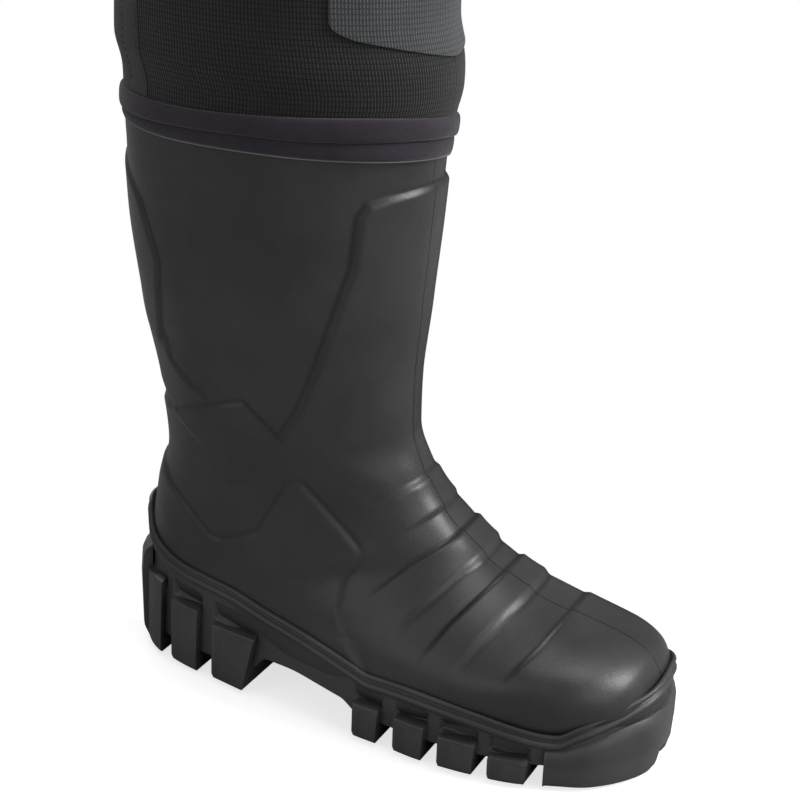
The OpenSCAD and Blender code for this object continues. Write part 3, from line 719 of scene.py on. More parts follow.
def sole_floor(u):
    """Underside of the sole between the cleats."""
    arch = smooth((u - 84) / 14) * (1 - smooth((u - 146) / 14))
    return CLEAT_DEPTH + arch * (11 - 5 * smooth((u - 110) / 45))


def soft_step(distance):
    """From 0 to 1 over 1.6 mm."""
    return smooth(distance / 1.6 + 0.5)


def recesses(u, z):
    """1 inside the recesses moulded above the cleats, 0 elsewhere."""
    high = cleat_top(u)
    dent = np.zeros(len(u))
    for u0, u1, lean in CLEATS:
        across = soft_step(u - u0) * (1 - soft_step(u - u1 - lean * smooth(z / 60) * 1.2))
        dent += across * soft_step(high - z) * soft_step(z - high + recess_height(u))
    return np.clip(dent, 0, 1)


def build_sole(side, boot):
    points, normals = fit_outline(boot, SOLE_MESH[side])
    u = points[:, 0]
    rim, floor = table(RIM, u), sole_floor(u)
    rows = [np.column_stack([points + normals * out, rim - down]) for out, down in LIP]
    for share in np.linspace(0.04, 1.0, 30):
        z = (rim - WALL_TOP) * (1 - share) + floor * share
        out = WALL + 0.3 * share - POCKET_IN * recesses(u, z)
        rows.append(np.column_stack([points + normals * out[:, None], z]))
    rows.append(np.column_stack([points - normals * 3, floor - 0.4]))
    rows.append(np.column_stack([points - normals * 9, floor]))
    middle = points.mean(0)
    for share in (0.45, 0.12):
        inner = middle + (points - normals * 9 - middle) * np.array([1.0, share])
        rows.append(np.column_stack([inner, sole_floor(inner[:, 0])]))
    P = to_row(np.array(rows))
    obj = grid_object("outsole_" + side + "_body", P[::-1], SOLE_RUBBER, side, True)
    place(obj, "shin_" + side, "outsole_rubber")
    place(build_cleats(side, points), "shin_" + side, "outsole_rubber", "outsole_" + side)


def sole_edge(points, u, outer):
    """Outward position of the sole's edge at u on the outer or the inner side."""
    chosen = points[(points[:, 1] > 0) == outer]
    order = np.argsort(chosen[:, 0])
    return np.interp(u, chosen[order, 0], chosen[order, 1])


def side_cleat(verts, faces, edge, inner, rows):
    """A closed cleat. rows are (z, outward offset, shrink at the heel end, shrink at the toe end)."""
    start = len(verts)
    sign = 1 if edge[0, 1] > inner[0, 1] else -1
    u0, u1 = edge[0, 0], edge[-1, 0]
    share = (edge[:, 0] - u0) / (u1 - u0)
    for z, out, heel, toe in rows:
        u = u0 + heel + share * (u1 - u0 - heel - toe)
        ring = np.concatenate([np.column_stack([u, edge[:, 1] + out * sign]),
                               np.column_stack([u, inner[:, 1]])[::-1]])
        verts.extend(np.column_stack([ring, np.full(len(ring), float(z))]))
    m = 2 * len(edge)
    for r in range(len(rows) - 1):
        a, b = start + r * m, start + (r + 1) * m
        for k in range(m):
            faces.append((a + k, a + (k + 1) % m, b + (k + 1) % m, b + k))
    faces.append(tuple(start + k for k in range(m))[::-1])
    faces.append(tuple(start + (len(rows) - 1) * m + k for k in range(m)))


def build_cleats(side, points):
    verts, faces = [], []
    for sign in (1, -1):
        for u0, u1, lean in CLEATS:
            u = np.linspace(max(u0, 3.0), u1 + lean, 9)
            edge = np.column_stack([u, sole_edge(points, u, sign > 0)])
            inner = np.column_stack([u, np.full(9, sign * INSIDE_END)])
            shelf = float(np.mean(cleat_top(u) - recess_height(u)))
            rows = [(0, -1.4, 1.2, 1.6 + lean), (1.8, 1.2, 0.4, 0.8 + lean),
                    (5, CLEAT_OUT + 0.3, 0.1, 0.3 + lean * 0.85),
                    (shelf - 2.0, CLEAT_OUT + 0.4, 0, lean * 0.2),
                    (shelf - 0.4, CLEAT_OUT - 0.4, 0.1, lean * 0.15 + 0.1),
                    (shelf + 0.3, WALL + 0.4, 0.5, 0.5 + lean * 0.15),
                    (shelf + 0.6, WALL - POCKET_IN - 1, 0.8, 0.8)]
            side_cleat(verts, faces, edge, inner, rows)
    heel_block(verts, faces, points)
    toe_block(verts, faces, points)
    row = to_row(np.array(verts))
    if side == "right":
        row[:, 0] *= -1
        faces = [f[::-1] for f in faces]
    obj = new_object("outsole_" + side + "_cleats", row, faces, SOLE_RUBBER)
    fix_normals(obj)
    bevel(obj, 0.8, 2, 28)
    weighted_normals(obj)
    return obj


def wrapped_block(verts, faces, line, centre, inner_u, rows):
    """A block whose outer face follows a bent line of the outline round a centre, and whose flat inner face
    is at inner_u. rows are (z, outward)."""
    normal = line - np.array(centre)
    normal /= np.linalg.norm(normal, axis=1, keepdims=True)
    inner = np.column_stack([np.full(len(line), inner_u), line[:, 1] * 0.97])
    start, m = len(verts), len(line)
    for z, out in rows:
        verts.extend(np.column_stack([line + normal * out, np.broadcast_to(z, (m,))]))
    for z in (rows[-1][0], 0.0):
        verts.extend(np.column_stack([inner, np.broadcast_to(z, (m,))]))
    count = len(rows) + 2
    for r in range(count):
        a, b = start + r * m, start + (r + 1) % count * m
        for k in range(m - 1):
            faces.append((a + k, a + k + 1, b + k + 1, b + k))
    faces.append(tuple(start + o * m for o in range(count)))
    faces.append(tuple(start + o * m + m - 1 for o in range(count))[::-1])


def toe_block(verts, faces, points):
    """Bumper that follows the toe from side to side, notched under its tip."""
    toe = points[points[:, 0] > TOE_START]
    toe = toe[np.argsort(np.arctan2(toe[:, 1] + 4, toe[:, 0] - 250))]
    notch = np.exp(-(((toe[:, 1] - 4) / 7) ** 4)) * 6.0
    tip = smooth((toe[:, 0] - 268) / 34)
    rows = [(notch, -3.4), (notch + 1.6, -0.6), (notch + 5, 1.4), (15 + tip * 3, 2.0), (19 + tip * 9, 1.9),
            (21 + tip * 11, 0.9), (22.5 + tip * 12, -1.0)]
    wrapped_block(verts, faces, toe, (248, -4), TOE_START, rows)


def heel_block(verts, faces, points):
    """Rearmost cleat, which wraps round the back of the heel."""
    back = points[points[:, 0] < 9]
    back = back[np.argsort(np.arctan2(back[:, 1] + 2, 40 - back[:, 0]))]
    rows = [(0.0, -2.4), (2.2, 1.2), (8, CLEAT_OUT + 1.2), (40, CLEAT_OUT + 2.2), (52, CLEAT_OUT + 1.6),
            (56, CLEAT_OUT), (60, WALL - 1)]
    wrapped_block(verts, faces, back, (40, -2), 9.5, rows)


for side in SIDES:
    build_sole(side, build_boot(side))


# ---- garment surfaces
# Tables of (height, value): front and back are places in y
LEG = {
    "front": [(300, -85.5), (318, -88), (331, -90.5), (345, -88.5), (365, -84.5), (395, -83), (430, -87),
              (520, -93), (600, -100), (700, -110), (800, -122)],
    "back": [(300, 87.3), (327, 89.3), (345, 93), (395, 96), (430, 98), (520, 95), (600, 100), (700, 112),
             (800, 128)],
    "half_width": [(300, 64), (327, 65.5), (345, 67.5), (395, 70), (430, 74), (520, 81), (600, 88), (700, 97),
                   (780, 104)],
    "centre": [(300, 145), (345, 143), (780, 110)]}
TORSO = {
    "front": [(790, -126), (900, -131), (1010, -126), (1120, -130), (1235, -132), (1330, -130)],
    "back": [(790, 131), (900, 138), (1010, 128), (1120, 128), (1235, 128), (1330, 126)],
    "half_width": [(790, 215), (900, 212), (1010, 197), (1120, 200), (1235, 206), (1330, 204)],
    "centre": [(790, 0), (1330, 0)]}
NEOPRENE = 4.5
CUFF_GIRTH, LEG_GIRTH = 488, 540
THIGH_TOP = 650.0       # height at which the leg piece meets the hip piece
HIP_TOP = 884.0         # height above which nothing follows the thighs
WAIST = 1010.0
BELT_Z = 1048.0


def section_ring(shape, z, angle, lift=0.0):
    """Points of an oval section. angle is 0 in front, 90 at the outer side and 180 behind."""
    z, angle = np.broadcast_arrays(np.asarray(z, float), np.asarray(angle, float))
    a = np.radians(angle)
    y0, y1 = table(shape["front"], z), table(shape["back"], z)
    along = ((y1 - y0) / 2 + lift) * np.cos(a)
    across = (table(shape["half_width"], z) + lift) * np.sin(a)
    return np.stack([table(shape["centre"], z) + across, (y0 + y1) / 2 - along, z], -1)


def outward(angle):
    a = np.radians(angle)
    return np.stack(np.broadcast_arrays(np.sin(a), -np.cos(a), 0.0), -1)


def folds(P, amount, seed, size=44.0):
    """Soft creases, wider than they are tall."""
    return amount * noise3(P * np.array([0.5, 0.5, 1.5]), size, seed)


def leg_surface(z, angle, lift=0.0):
    """Face of the leg of the +X side."""
    P = section_ring(LEG, z, angle)
    z = P[..., 2]
    free = smooth((z - 318) / 30) * (1 - smooth((z - 600) / 50))
    behind = 0.5 - 0.5 * np.cos(np.radians(angle))
    ankle = 0.8 * bell(z, 342, 9) - 0.5 * bell(z, 368, 13)
    knee = 2.2 * np.sin((z - 520) / 15) * bell(z, 520, 52) * behind
    calm = 0.3 + 0.7 * smooth((z - 340) / 90)
    push = free * (calm * (folds(P, 1.7, 7) + folds(P, 0.7, 11, 17)) + ankle + knee)
    return P + outward(np.broadcast_to(angle, z.shape)) * (push + lift)[..., None]


def torso_surface(z, angle, lift=0.0):
    """Face of the bib and seat, drawn in a little by the belt."""
    P = section_ring(TORSO, z, angle)
    z = P[..., 2]
    free = smooth((z - HIP_TOP) / 40) * (1 - 0.75 * smooth((z - 1225) / 60))
    cinch = -2.4 * bell(z, BELT_Z, 22) + 1.0 * bell(z, BELT_Z + 42, 16) + 1.2 * bell(z, BELT_Z - 44, 18)
    push = free * (folds(P, 1.6, 13, 60) + folds(P, 0.6, 17, 22)) + cinch
    return P + outward(np.broadcast_to(angle, z.shape)) * (push + lift)[..., None]


# ---- straps, cords and stitches
def frames(path, across):
    """Width direction and normal at each point of a path."""
    tangent = unit(np.gradient(path, axis=0))
    across = np.broadcast_to(np.asarray(across, float), path.shape)
    wide = unit(across - tangent * (across * tangent).sum(-1, keepdims=True))
    return wide, np.cross(wide, tangent)


def swept(path, wide, normal, profile):
    """Grid of a profile of (wide, normal) offsets carried along a path."""
    return path[:, None] + wide[:, None] * profile[None, :, :1] + normal[:, None] * profile[None, :, 1:]


def strap(name, path, across, material, side="left", width=38.0, thickness=1.8):
    """Flat webbing along a path, with rounded edges and closed ends."""
    w, t = width / 2, thickness / 2
    profile = [(-w, 0), (-w + 0.35, -t * 0.8), (-w + 1.2, -t)]
    profile += [(x, -t) for x in np.linspace(-w + 4, w - 4, 5)]
    profile += [(w - 1.2, -t), (w - 0.35, -t * 0.8), (w, 0)]
    profile += [(x, -y) for x, y in profile[-2:0:-1]]
    profile = np.array(profile)
    P = swept(path, *frames(path, across), profile)
    uv = sheet_uv(np.concatenate([profile[:, 0], profile[:1, 0]]), distances(path))
    obj = grid_object(name, P, material, side, True, uv, caps=(0, -1))
    fix_normals(obj)
    bevel(obj, 0.3, 1, 60)
    return obj


def circle(radius, sides):
    turn = np.linspace(0, 2 * np.pi, sides, endpoint=False)
    return radius * np.stack([np.cos(turn), np.sin(turn)], -1)


def cord(name, path, radius):
    """A round cord with closed ends."""
    sides = 14
    P = swept(path, *frames(path, (0.31, 0.17, 0.93)), circle(radius, sides))
    uv = sheet_uv(np.linspace(0, 2 * np.pi * radius, sides + 1), distances(path))
    obj = grid_object(name, P, CORD, wrap=True, uv=uv, caps=(0, -1))
    fix_normals(obj)
    place(obj, "torso", "cord")
    return obj


def closed_cord(name, path, radius, material, side="left", sides=10):
    """A round cord along a closed path."""
    tangent = unit(np.roll(path, -1, 0) - np.roll(path, 1, 0))
    wide = unit(np.cross(tangent, [0, 1.0, 0.02]))
    P = repeat_first(swept(path, wide, np.cross(wide, tangent), circle(radius, sides)))
    uv = sheet_uv(np.linspace(0, 6, sides + 1), np.linspace(0, 500, len(P)))
    obj = grid_object(name, P, material, side, True, uv)
    fix_normals(obj, weld=True)
    return obj


def closed_band(name, P, material, uv, side="left"):
    """A ring whose rows are the points of its closed profile."""
    obj = grid_object(name, repeat_first(P), material, side, True, uv)
    fix_normals(obj, weld=True)
    return obj


def stitches(name, lines, body, side="left", pitch=3.4, length=2.4):
    """Rows of separate thread beads. Each line is (points, outward normals)."""
    radius = 0.32
    verts, faces = [], []
    for points, normals in lines:
        points = np.asarray(points, float)
        normals = np.broadcast_to(np.asarray(normals, float), points.shape)
        at = distances(points)
        for start in np.arange(0.6, at[-1] - length, pitch):
            where = np.array([start, start + length * 0.22, start + length * 0.78, start + length])
            p = np.stack([np.interp(where, at, points[:, i]) for i in range(3)], 1)
            n = unit(np.array([np.interp(start, at, normals[:, i]) for i in range(3)]))
            b = np.cross(unit(p[-1] - p[0]), n)
            first = len(verts)
            verts.append(p[0] - n * 0.1)
            for k in (1, 2):
                for dn, db in ((1.0, 0), (0.25, 1), (-0.5, 0), (0.25, -1)):
                    verts.append(p[k] + n * radius * dn + b * radius * db)
            verts.append(p[3] - n * 0.1)
            for k in range(4):
                m = (k + 1) % 4
                faces.append((first, first + 1 + k, first + 1 + m))
                faces.append((first + 1 + k, first + 5 + k, first + 5 + m, first + 1 + m))
                faces.append((first + 9, first + 5 + m, first + 5 + k))
    verts = np.array(verts)
    if side == "right":
        verts[:, 0] *= -1
    obj = new_object(name, verts, faces, THREAD)
    fix_normals(obj)
    if body:
        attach(obj, body)
    return obj


def box_cross(centre, wide, tall, normal):
    """Lines of a box stitch with a cross, on a flat patch spanned by the vectors wide and tall."""
    corners = [centre + wide * a + tall * b for a, b in ((-1, -1), (1, -1), (1, 1), (-1, 1))]
    runs = [(0, 1), (1, 2), (2, 3), (3, 0), (0, 2), (1, 3)]
    return [(np.linspace(corners[a], corners[b], 8), normal) for a, b in runs]


def bar_tacks(centres, half, normal, count):
    """Short straight seams, one through each centre."""
    return [(np.linspace(c - half, c + half, count), normal) for c in centres]


# ---- bonding tape and legs
def build_cuff(side):
    """Two overlapping turns of stretch tape that bond the leg to the boot, and the adhesive below them."""
    cols = 240
    angle = round_angles(cols)
    a = np.radians(angle)
    places = (-25, 0, 28, 47, 81, 110, 124, 155, 200, 270)
    sag, low = (smooth_ring(np.interp(angle, places, drop, period=360), 60) for drop in (
        (-8, -4, -0.6, 0.5, -1, -3.5, -4, -5, -6, -8), (-7, -4, -2, 0, 0.5, 0, 0.3, 0, -2, -6)))
    top = 323.2 + sag + 0.3 * np.sin(3 * a)
    fold = 312.0 + sag * 0.8 + 0.8 * np.cos(a - math.radians(100)) + 0.5 * np.sin(4 * a + 1.0)
    bottom = 303.3 + low + 0.3 * np.sin(5 * a)
    # share of the way up a band, and distance out from the leg
    lower = [(0.0, 0.2), (0.02, 0.9), (0.1, 1.4), (0.35, 1.7), (0.65, 1.6), (0.88, 1.2), (0.98, 0.8)]
    upper = [(-0.03, 0.9), (-0.03, 1.9), (0.03, 2.5), (0.12, 2.8), (0.35, 2.9), (0.65, 2.7), (0.88, 2.2),
             (0.97, 1.5), (1.0, 0.8), (1.0, -0.6)]
    z = np.array([bottom + (fold - bottom) * share for share, _ in lower]
                 + [fold + (top - fold) * share for share, _ in upper])
    lift = np.array([out for _, out in lower + upper])[:, None]
    lift = lift + 0.25 * np.sin(2 * a + 0.4) + 0.12 * np.sin(9 * a)
    out = outward(angle)[None, :, :]
    P = section_ring(LEG, z, angle[None, :])
    P = np.concatenate([P + out * lift[..., None], P[[-1, 0]] - out * 0.9])
    uv = sheet_uv(np.linspace(0, CUFF_GIRTH, cols + 1), np.append(z[:, 0] - z[0, 0], [22, 0]))
    obj = grid_object("cuff_tape_" + side, P, TAPE, side, True, uv)
    sub = obj.modifiers.new("smooth", "SUBSURF")
    sub.levels = sub.render_levels = 1
    place(obj, "shin_" + side, "binding_tape", "cuff_tape_" + side)
    edge = section_ring(LEG, bottom - 0.3, angle) + outward(angle) * 0.35
    place(closed_cord("bond_line_" + side, edge, 0.4, BOND, side, 6), "shin_" + side, "lining")


def knee_blend(obj):
    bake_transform(obj)


def build_leg(side):
    cols = 216
    z = np.linspace(315, THIGH_TOP, 190)
    P = leg_surface(z[:, None], round_angles(cols)[None, :])
    uv = sheet_uv(np.linspace(0, LEG_GIRTH, cols + 1), z)
    obj = cloth_shell("leg_" + side, P, uv, KNIT_BLACK, NEOPRENE, side, True)
    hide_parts("lower_leg_" + side, "upper_leg_" + side)
    knee_blend(obj)


def level_edge(z):
    return lambda angle: z + 0 * angle


def dipped_edge(angle):
    """Lower edge of the shin guard: lowest at the front, climbing to the sides."""
    return 348.5 + 13.0 * (np.abs(angle) / 53) ** 1.15


# name, lower edge, upper edge, half angle, middle angle, lift, thickness, material, slot, rows, corner
PATCHES = [
    ("shin_guard_", dipped_edge, 508, 53.5, 0, 1.3, 1.2, KNIT_GREY, "neoprene_grey", 70, 5.0),
    ("knee_pad_", level_edge(511.0), 640, 53.5, 0, 2.4, 2.3, KNIT_GREY, "neoprene_grey", 70, 6.0),
    ("leg_stripe_", level_edge(320.0), 646, 6.4, 129.6, 0.5, 0.6, STRIPE, "stripe", 150, 0.0),
    ("inseam_", level_edge(320.0), 646, 2.6, 270, 0.5, 0.6, TAPE, "binding_tape", 150, 0.0)]


def build_patches(side):
    """Panels and tapes bonded on the leg, their stitching, and the seam between knee piece and thigh."""
    for name, low, high, half_angle, middle, lift, thickness, material, slot, rows, corner in PATCHES:
        across = np.linspace(-1, 1, 90)[None, :]
        up = np.linspace(0, 1, rows)[:, None]
        rounding = corner * (1 - np.sqrt(1 - np.clip(np.abs(across) * 5 - 4, 0, 1) ** 2))
        angle = middle + half_angle * across + 0 * up
        z = (low(half_angle * across) + rounding) * (1 - up) + (high - rounding) * up
        uv = np.stack([angle * 1.5, z], -1)
        obj = cloth_shell(name + side, leg_surface(z, angle, lift), uv, material, thickness, side, edge=0.4)
        if name != "inseam_":
            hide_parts(name + side)
        knee_blend(obj)
    z = np.linspace(325, 645, 160)
    lines = [(leg_surface(z, np.full(160, a), 0.55), outward(np.array(a)))
             for a in (124.6, 134.6, 268.6, 271.4)]
    knee_blend(stitches("leg_stitches_" + side, lines, None, side))
    angle = round_angles(160)
    rows = np.array([(645, 0.0), (645.4, 0.7), (648, 1.0), (652, 1.0), (654.6, 0.7), (655, 0.0), (652, -0.4),
                     (648, -0.4)])
    P = leg_surface(rows[:, :1], angle[None, :]) + outward(angle)[None] * rows[:, 1:, None]
    uv = repeat_first(sheet_uv(np.linspace(0, 600, 161), rows[:, 0]))
    place(closed_band("thigh_seam_" + side, P, TAPE, uv, side), "thigh_" + side, "binding_tape")


# ---- hips
def crotch_curve(cos_a):
    """Height of the seam under the crotch, from the front at 1 to the back at -1."""
    return 786 + 40 * np.abs(cos_a) ** 2.2


def strip_faces(faces, corners, under, over, count, length, v):
    """Quads between two rows of a hip, with their UV corners. length holds the distances round the lower row,
    where the last point repeats the first."""
    v0, v1 = v
    for j in range(count):
        k = (j + 1) % (len(length) - 1)
        faces.append((under + j, under + k, over + k, over + j))
        corners += [(length[j], v0), (length[j + 1], v0), (length[j + 1], v1), (length[j], v1)]


def build_hip(side):
    """Thigh above the knee piece, the fork and one half of the seat, as one surface."""
    cols, low_rows, up_rows = 192, 70, 22
    half = cols // 2
    angle = round_angles(cols)
    sine, cosine = np.sin(np.radians(angle)), np.cos(np.radians(angle))
    outer_side = np.clip(sine, 0, 1)
    inner = np.clip(-sine, 0, 1) ** 0.8
    low = leg_surface(np.array(THIGH_TOP), angle)
    rise = unit(low - leg_surface(np.array(THIGH_TOP - 8), angle))
    fork_y = 4 - 122 * power(cosine, np.where(sine > 0, 1.0, 1.25)) - 6 * cosine * outer_side
    fork_z = np.where(sine > 0, crotch_curve(1.0) - 24 * outer_side, crotch_curve(cosine))
    fork = np.stack([outer_side * 214, fork_y, fork_z], -1)
    into = unit(np.stack([-0.9 * inner, -np.sign(cosine) * inner * (1 - inner), 1 - 0.75 * inner], -1))
    t = np.linspace(0, 1, low_rows)[:, None, None]
    lower = bezier(low, low + rise * 58.0, fork - into * (34 + 20 * (1 - inner))[:, None], fork, t)
    t = t[..., 0]
    crease = folds(lower, 2.0, 23, 50) * smooth(t / 0.3) * (1 - smooth((t - 0.8) / 0.2))
    lower = lower + grid_normals(lower, True) * crease[..., None]
    top = torso_surface(np.array(HIP_TOP), angle[:half + 1])
    base = fork[:half + 1]
    s = np.linspace(0, 1, up_rows)[1:, None, None]
    upper = bezier(base, base + into[:half + 1] * 22, top - UP * 20, top, s)
    upper[:, [0, -1], 0] = 0
    verts = np.concatenate([lower.reshape(-1, 3), upper.reshape(-1, 3)])
    faces, corners = [], []
    length = distances(repeat_first(low))
    v = THIGH_TOP + np.linspace(0, 150, low_rows)
    for i in range(low_rows - 1):
        strip_faces(faces, corners, i * cols, (i + 1) * cols, cols, length, v[i:i + 2])
    v = THIGH_TOP + np.linspace(150, 222, up_rows)
    under, over = (low_rows - 1) * cols, low_rows * cols
    for i in range(up_rows - 1):
        strip_faces(faces, corners, under, over, half, length, v[i:i + 2])
        under, over = over, over + half + 1
    if side == "right":
        verts[:, 0] *= -1
        faces = [f[::-1] for f in faces]
        corners = [c for k in range(0, len(corners), 4) for c in corners[k:k + 4][::-1]]
    obj = new_object("hip_" + side, verts, faces, KNIT_BLACK)
    set_uv(obj, corners)
    thicken(obj, NEOPRENE)
    bevel(obj, 0.7, 2, 60)
    weighted_normals(obj)
    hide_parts("seat_panel")
    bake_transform(obj)


def build_fork_seam():
    """Taped seam from the waist in front, under the crotch, to the waist behind."""
    c = np.linspace(1, -1, 90)
    under = np.stack([np.zeros(90), 4 - 122 * c, crotch_curve(c) - 1.0], -1)
    front = torso_surface(np.linspace(WAIST, HIP_TOP, 20), np.zeros(20), 0.5)
    back = torso_surface(np.linspace(HIP_TOP, WAIST, 20), np.full(20, 180.0), 0.5)
    path = np.concatenate([front, under, back])
    path[:, 0] = 0
    path = curve_through(path, 190)
    tape = strap("fork_seam_tape", path, (1, 0, 0), TAPE, width=14, thickness=1.6)
    place(tape, "torso", "binding_tape", "crotch_gusset")
    _, normal = frames(path, (1, 0, 0))
    away = path - np.array([0, 4, 960.0])
    normal = np.where((away * normal).sum(-1, keepdims=True) > 0, normal, -normal)
    lines = [(path + normal * 0.8 + np.array([x, 0, 0]), normal) for x in (-4.6, 4.6)]
    stitches("fork_stitches", lines, "torso")


# ---- bib
SEAMS = (78, 102)       # angles of the side seams


def bib_top(angle):
    a = np.abs((np.asarray(angle, float) + 180) % 360 - 180)
    return 1329 - 85 * smooth((a - 58) / 40)


def torso_part(name, a0, a1, low, high, rows, material, slot, nodes, wrap=False, side="left"):
    """A panel of the bib or seat between two angles; high is None where it ends at the hem."""
    cols = max(12, int(abs(a1 - a0) * 0.8))
    angle = np.linspace(a0, a1, cols, endpoint=not wrap)
    top = bib_top(angle) if high is None else np.full(cols, float(high))
    z = low + (top[None, :] - low) * np.linspace(0, 1, rows)[:, None]
    P = torso_surface(z, angle[None, :] + 0 * z)
    zz = np.concatenate([z, z[:, :1]], 1) if wrap else z
    u = np.linspace(a0, a1, zz.shape[1]) * math.pi / 180 * 166
    uv = np.stack([np.broadcast_to(u[None, :], zz.shape), zz], -1)
    place(cloth_shell(name, P, uv, material, NEOPRENE, side, wrap), "torso", slot, *nodes)


def build_bib():
    black = (KNIT_BLACK, "neoprene_black")
    torso_part("seat_upper", 0, 360, HIP_TOP - 0.4, WAIST, 60, *black, (), wrap=True)
    torso_part("bib_front", -78, 78, WAIST, None, 150, *black, ("bib_front",))
    torso_part("bib_back", 102, 258, WAIST, None, 120, *black, ("bib_back",))
    for side in SIDES:
        torso_part("side_gusset_" + side, *SEAMS, WAIST, None, 120, KNIT_GREY, "neoprene_grey",
                   once(side, "side_gussets"), side=side)
    lines = []
    for side in SIDES:
        turn = np.array([MIRROR[side], 1, 1])
        for seam in SEAMS:
            z = np.linspace(WAIST + 1, float(bib_top(seam)) - 4, 120)
            path = torso_surface(z, np.full(120, float(seam)), 0.6) * turn
            across = outward(np.array(seam + 90.0)) * turn
            tape = strap("bib_seam_%d_%s" % (seam, side), path, across, TAPE, width=9, thickness=1.2)
            place(tape, "torso", "binding_tape")
            facing = outward(np.array(float(seam))) * turn
            for shift in (-2.7, 2.7):
                lines.append((path + facing * 0.6 + np.cross(facing, UP) * shift, facing))
    loop = np.append(np.arange(360.0), 0)
    out = outward(loop)
    path = torso_surface(np.full(361, WAIST), loop, 0.6)
    profile = np.array([(-5.0, -0.6), (-5.0, 0), (-4.5, 0.6), (4.5, 0.6), (5.0, 0), (5.0, -0.6)])
    P = path[None, :-1] + out[None, :-1] * profile[:, 1:, None] + UP * profile[:, :1, None]
    uv = repeat_first(sheet_uv(distances(path), profile[:, 0]))
    place(closed_band("waist_seam_tape", P, TAPE, uv), "torso", "binding_tape")
    for z in (WAIST - 3, WAIST + 3):
        lines.append((torso_surface(np.full(361, z), loop, 1.25), out))
    stitches("bib_stitches", lines, "torso")


def build_hem():
    """Folded binding over the top edge of the bib."""
    cols = 360
    angle = round_angles(cols)
    loop = np.append(angle, 0)
    profile = np.array([(0.9, -11.6), (1.7, -11.0), (2.0, -8), (2.0, -3), (1.7, 0.4), (0.2, 2.0), (-2.2, 2.6),
                        (-4.8, 2.0), (-6.2, 0.4), (-6.5, -3), (-6.5, -8), (-6.2, -11), (-5.4, -11.6),
                        (-4.0, -10.5), (-0.4, -10.5)])
    ripple = 0.35 * np.sin(np.radians(angle) * 23) + 0.2 * np.sin(np.radians(angle) * 41 + 1)
    out = profile[:, :1, None] + ripple[None, :, None] * 0.5
    P = torso_surface(bib_top(angle), angle)[None] + outward(angle)[None] * out + UP * profile[:, 1:, None]
    uv = sheet_uv(np.linspace(0, 1080, cols + 1), np.append(distances(profile), 38))
    place(closed_band("top_hem", P, TAPE, uv), "torso", "binding_tape", "top_hem")
    lines = [(torso_surface(bib_top(loop), loop, 2.1) - UP * drop, outward(loop)) for drop in (8.6, 2.4)]
    stitches("hem_stitches", lines, "torso")


# ---- chest pocket and zip
ZIP_FACE = -153.4       # y of the front of the zip tape
POCKET_ANGLE = 37.0     # from the middle of the bib to each side of the pocket


def pocket_point(u, v, lift=0.0):
    """Face of the bellows pocket; u runs across and v up, both from -1 to 1."""
    angle = POCKET_ANGLE * u
    rim = np.clip(1 - np.abs(u) ** 6, 0, 1) ** 0.55 * np.clip(1 - np.abs(v) ** 8, 0, 1) ** 0.5
    P = section_ring(TORSO, 1178 + 80.0 * v, angle)
    crease = folds(P, 1.1, 31, 34) * rim * (1 - bell(u, 0, 0.16))
    depth = 0.6 + 18.4 * rim * np.clip(1.0 - 0.10 * v, 0.92, 1.06) + crease
    return P + outward(angle) * (np.minimum(depth, 20.2) + lift)[..., None]


def build_pocket():
    u, v = (np.sin(np.linspace(-np.pi / 2, np.pi / 2, count)) for count in (110, 100))
    P = pocket_point(*np.broadcast_arrays(u[None, :], v[:, None]))
    obj = cloth_shell("chest_pocket", P, arc_uv(P, False), POCKET, 1.0, edge=0.3)
    place(obj, "torso", "pocket_cloth", "chest_pocket")
    turn = np.linspace(0, 2 * np.pi, 400)
    su, sv = power(np.cos(turn), 0.16), power(np.sin(turn), 0.16)
    path = pocket_point(su * 0.955, sv * 0.955, 0.5)
    place(closed_cord("pocket_piping", path[:-1], 1.3, TAPE), "torso", "binding_tape")
    lines = [(pocket_point(su * scale, sv * scale, 0.1), outward(POCKET_ANGLE * su * scale))
             for scale in (0.90, 0.865)]
    for x in (-10.5, 10.5):
        z = np.linspace(1110, 1246, 60)
        lines.append((np.stack([np.full(60, x), np.full(60, ZIP_FACE - 0.1), z], -1), [0, -1.0, 0]))
    stitches("pocket_stitches", lines, "torso")


def build_zip():
    """Two zip tapes, flat along the teeth and falling to the pocket's face at their outer edges, with meshed
    teeth between them and a stop at each end."""
    for side in SIDES:
        x = np.array([0.4, 3, 6, 9, 12, 15.0]) * MIRROR[side]
        x = x[::MIRROR[side]]
        xx, zz = np.broadcast_arrays(x[None, :], np.linspace(1107, 1249, 60)[:, None])
        y = np.interp(np.abs(xx), [9, 12, 15], [ZIP_FACE, ZIP_FACE + 0.5, ZIP_FACE + 3.2])
        P, uv = np.stack([xx, y, zz], -1), np.stack([xx, zz], -1)
        obj = cloth_shell("zip_tape_" + side, P, uv, ZIP_CLOTH, 0.9, edge=0.2)
        place(obj, "torso", "zip_tape_cloth", *once(side, "zip_tape"))
    pitch = 1.55
    teeth = [((1.25 if k % 2 else -1.25, 1111 + k * pitch), (1.35, 0.8, 0.55)) for k in range(86)]
    stops = [((0, z), (2.3, 0.85, 1.2)) for z in (1109.0, 1247.0)]
    corners = np.array([(dx, dy, dz) for dx in (-1, 1) for dy in (-1, 1) for dz in (-1, 1)])
    verts, faces = [], []
    for (x, z), size in teeth + stops:
        for f in ((0, 1, 3, 2), (4, 6, 7, 5), (0, 4, 5, 1), (2, 3, 7, 6), (0, 2, 6, 4), (1, 5, 7, 3)):
            faces.append(tuple(len(verts) + k for k in f))
        verts.extend(np.array([x, ZIP_FACE - 0.75, z]) + corners * size)
    obj = new_object("zip_teeth", np.array(verts), faces, PLASTIC)
    fix_normals(obj)
    bevel(obj, 0.22, 2, 40)
    place(obj, "torso", "hardware_plastic")


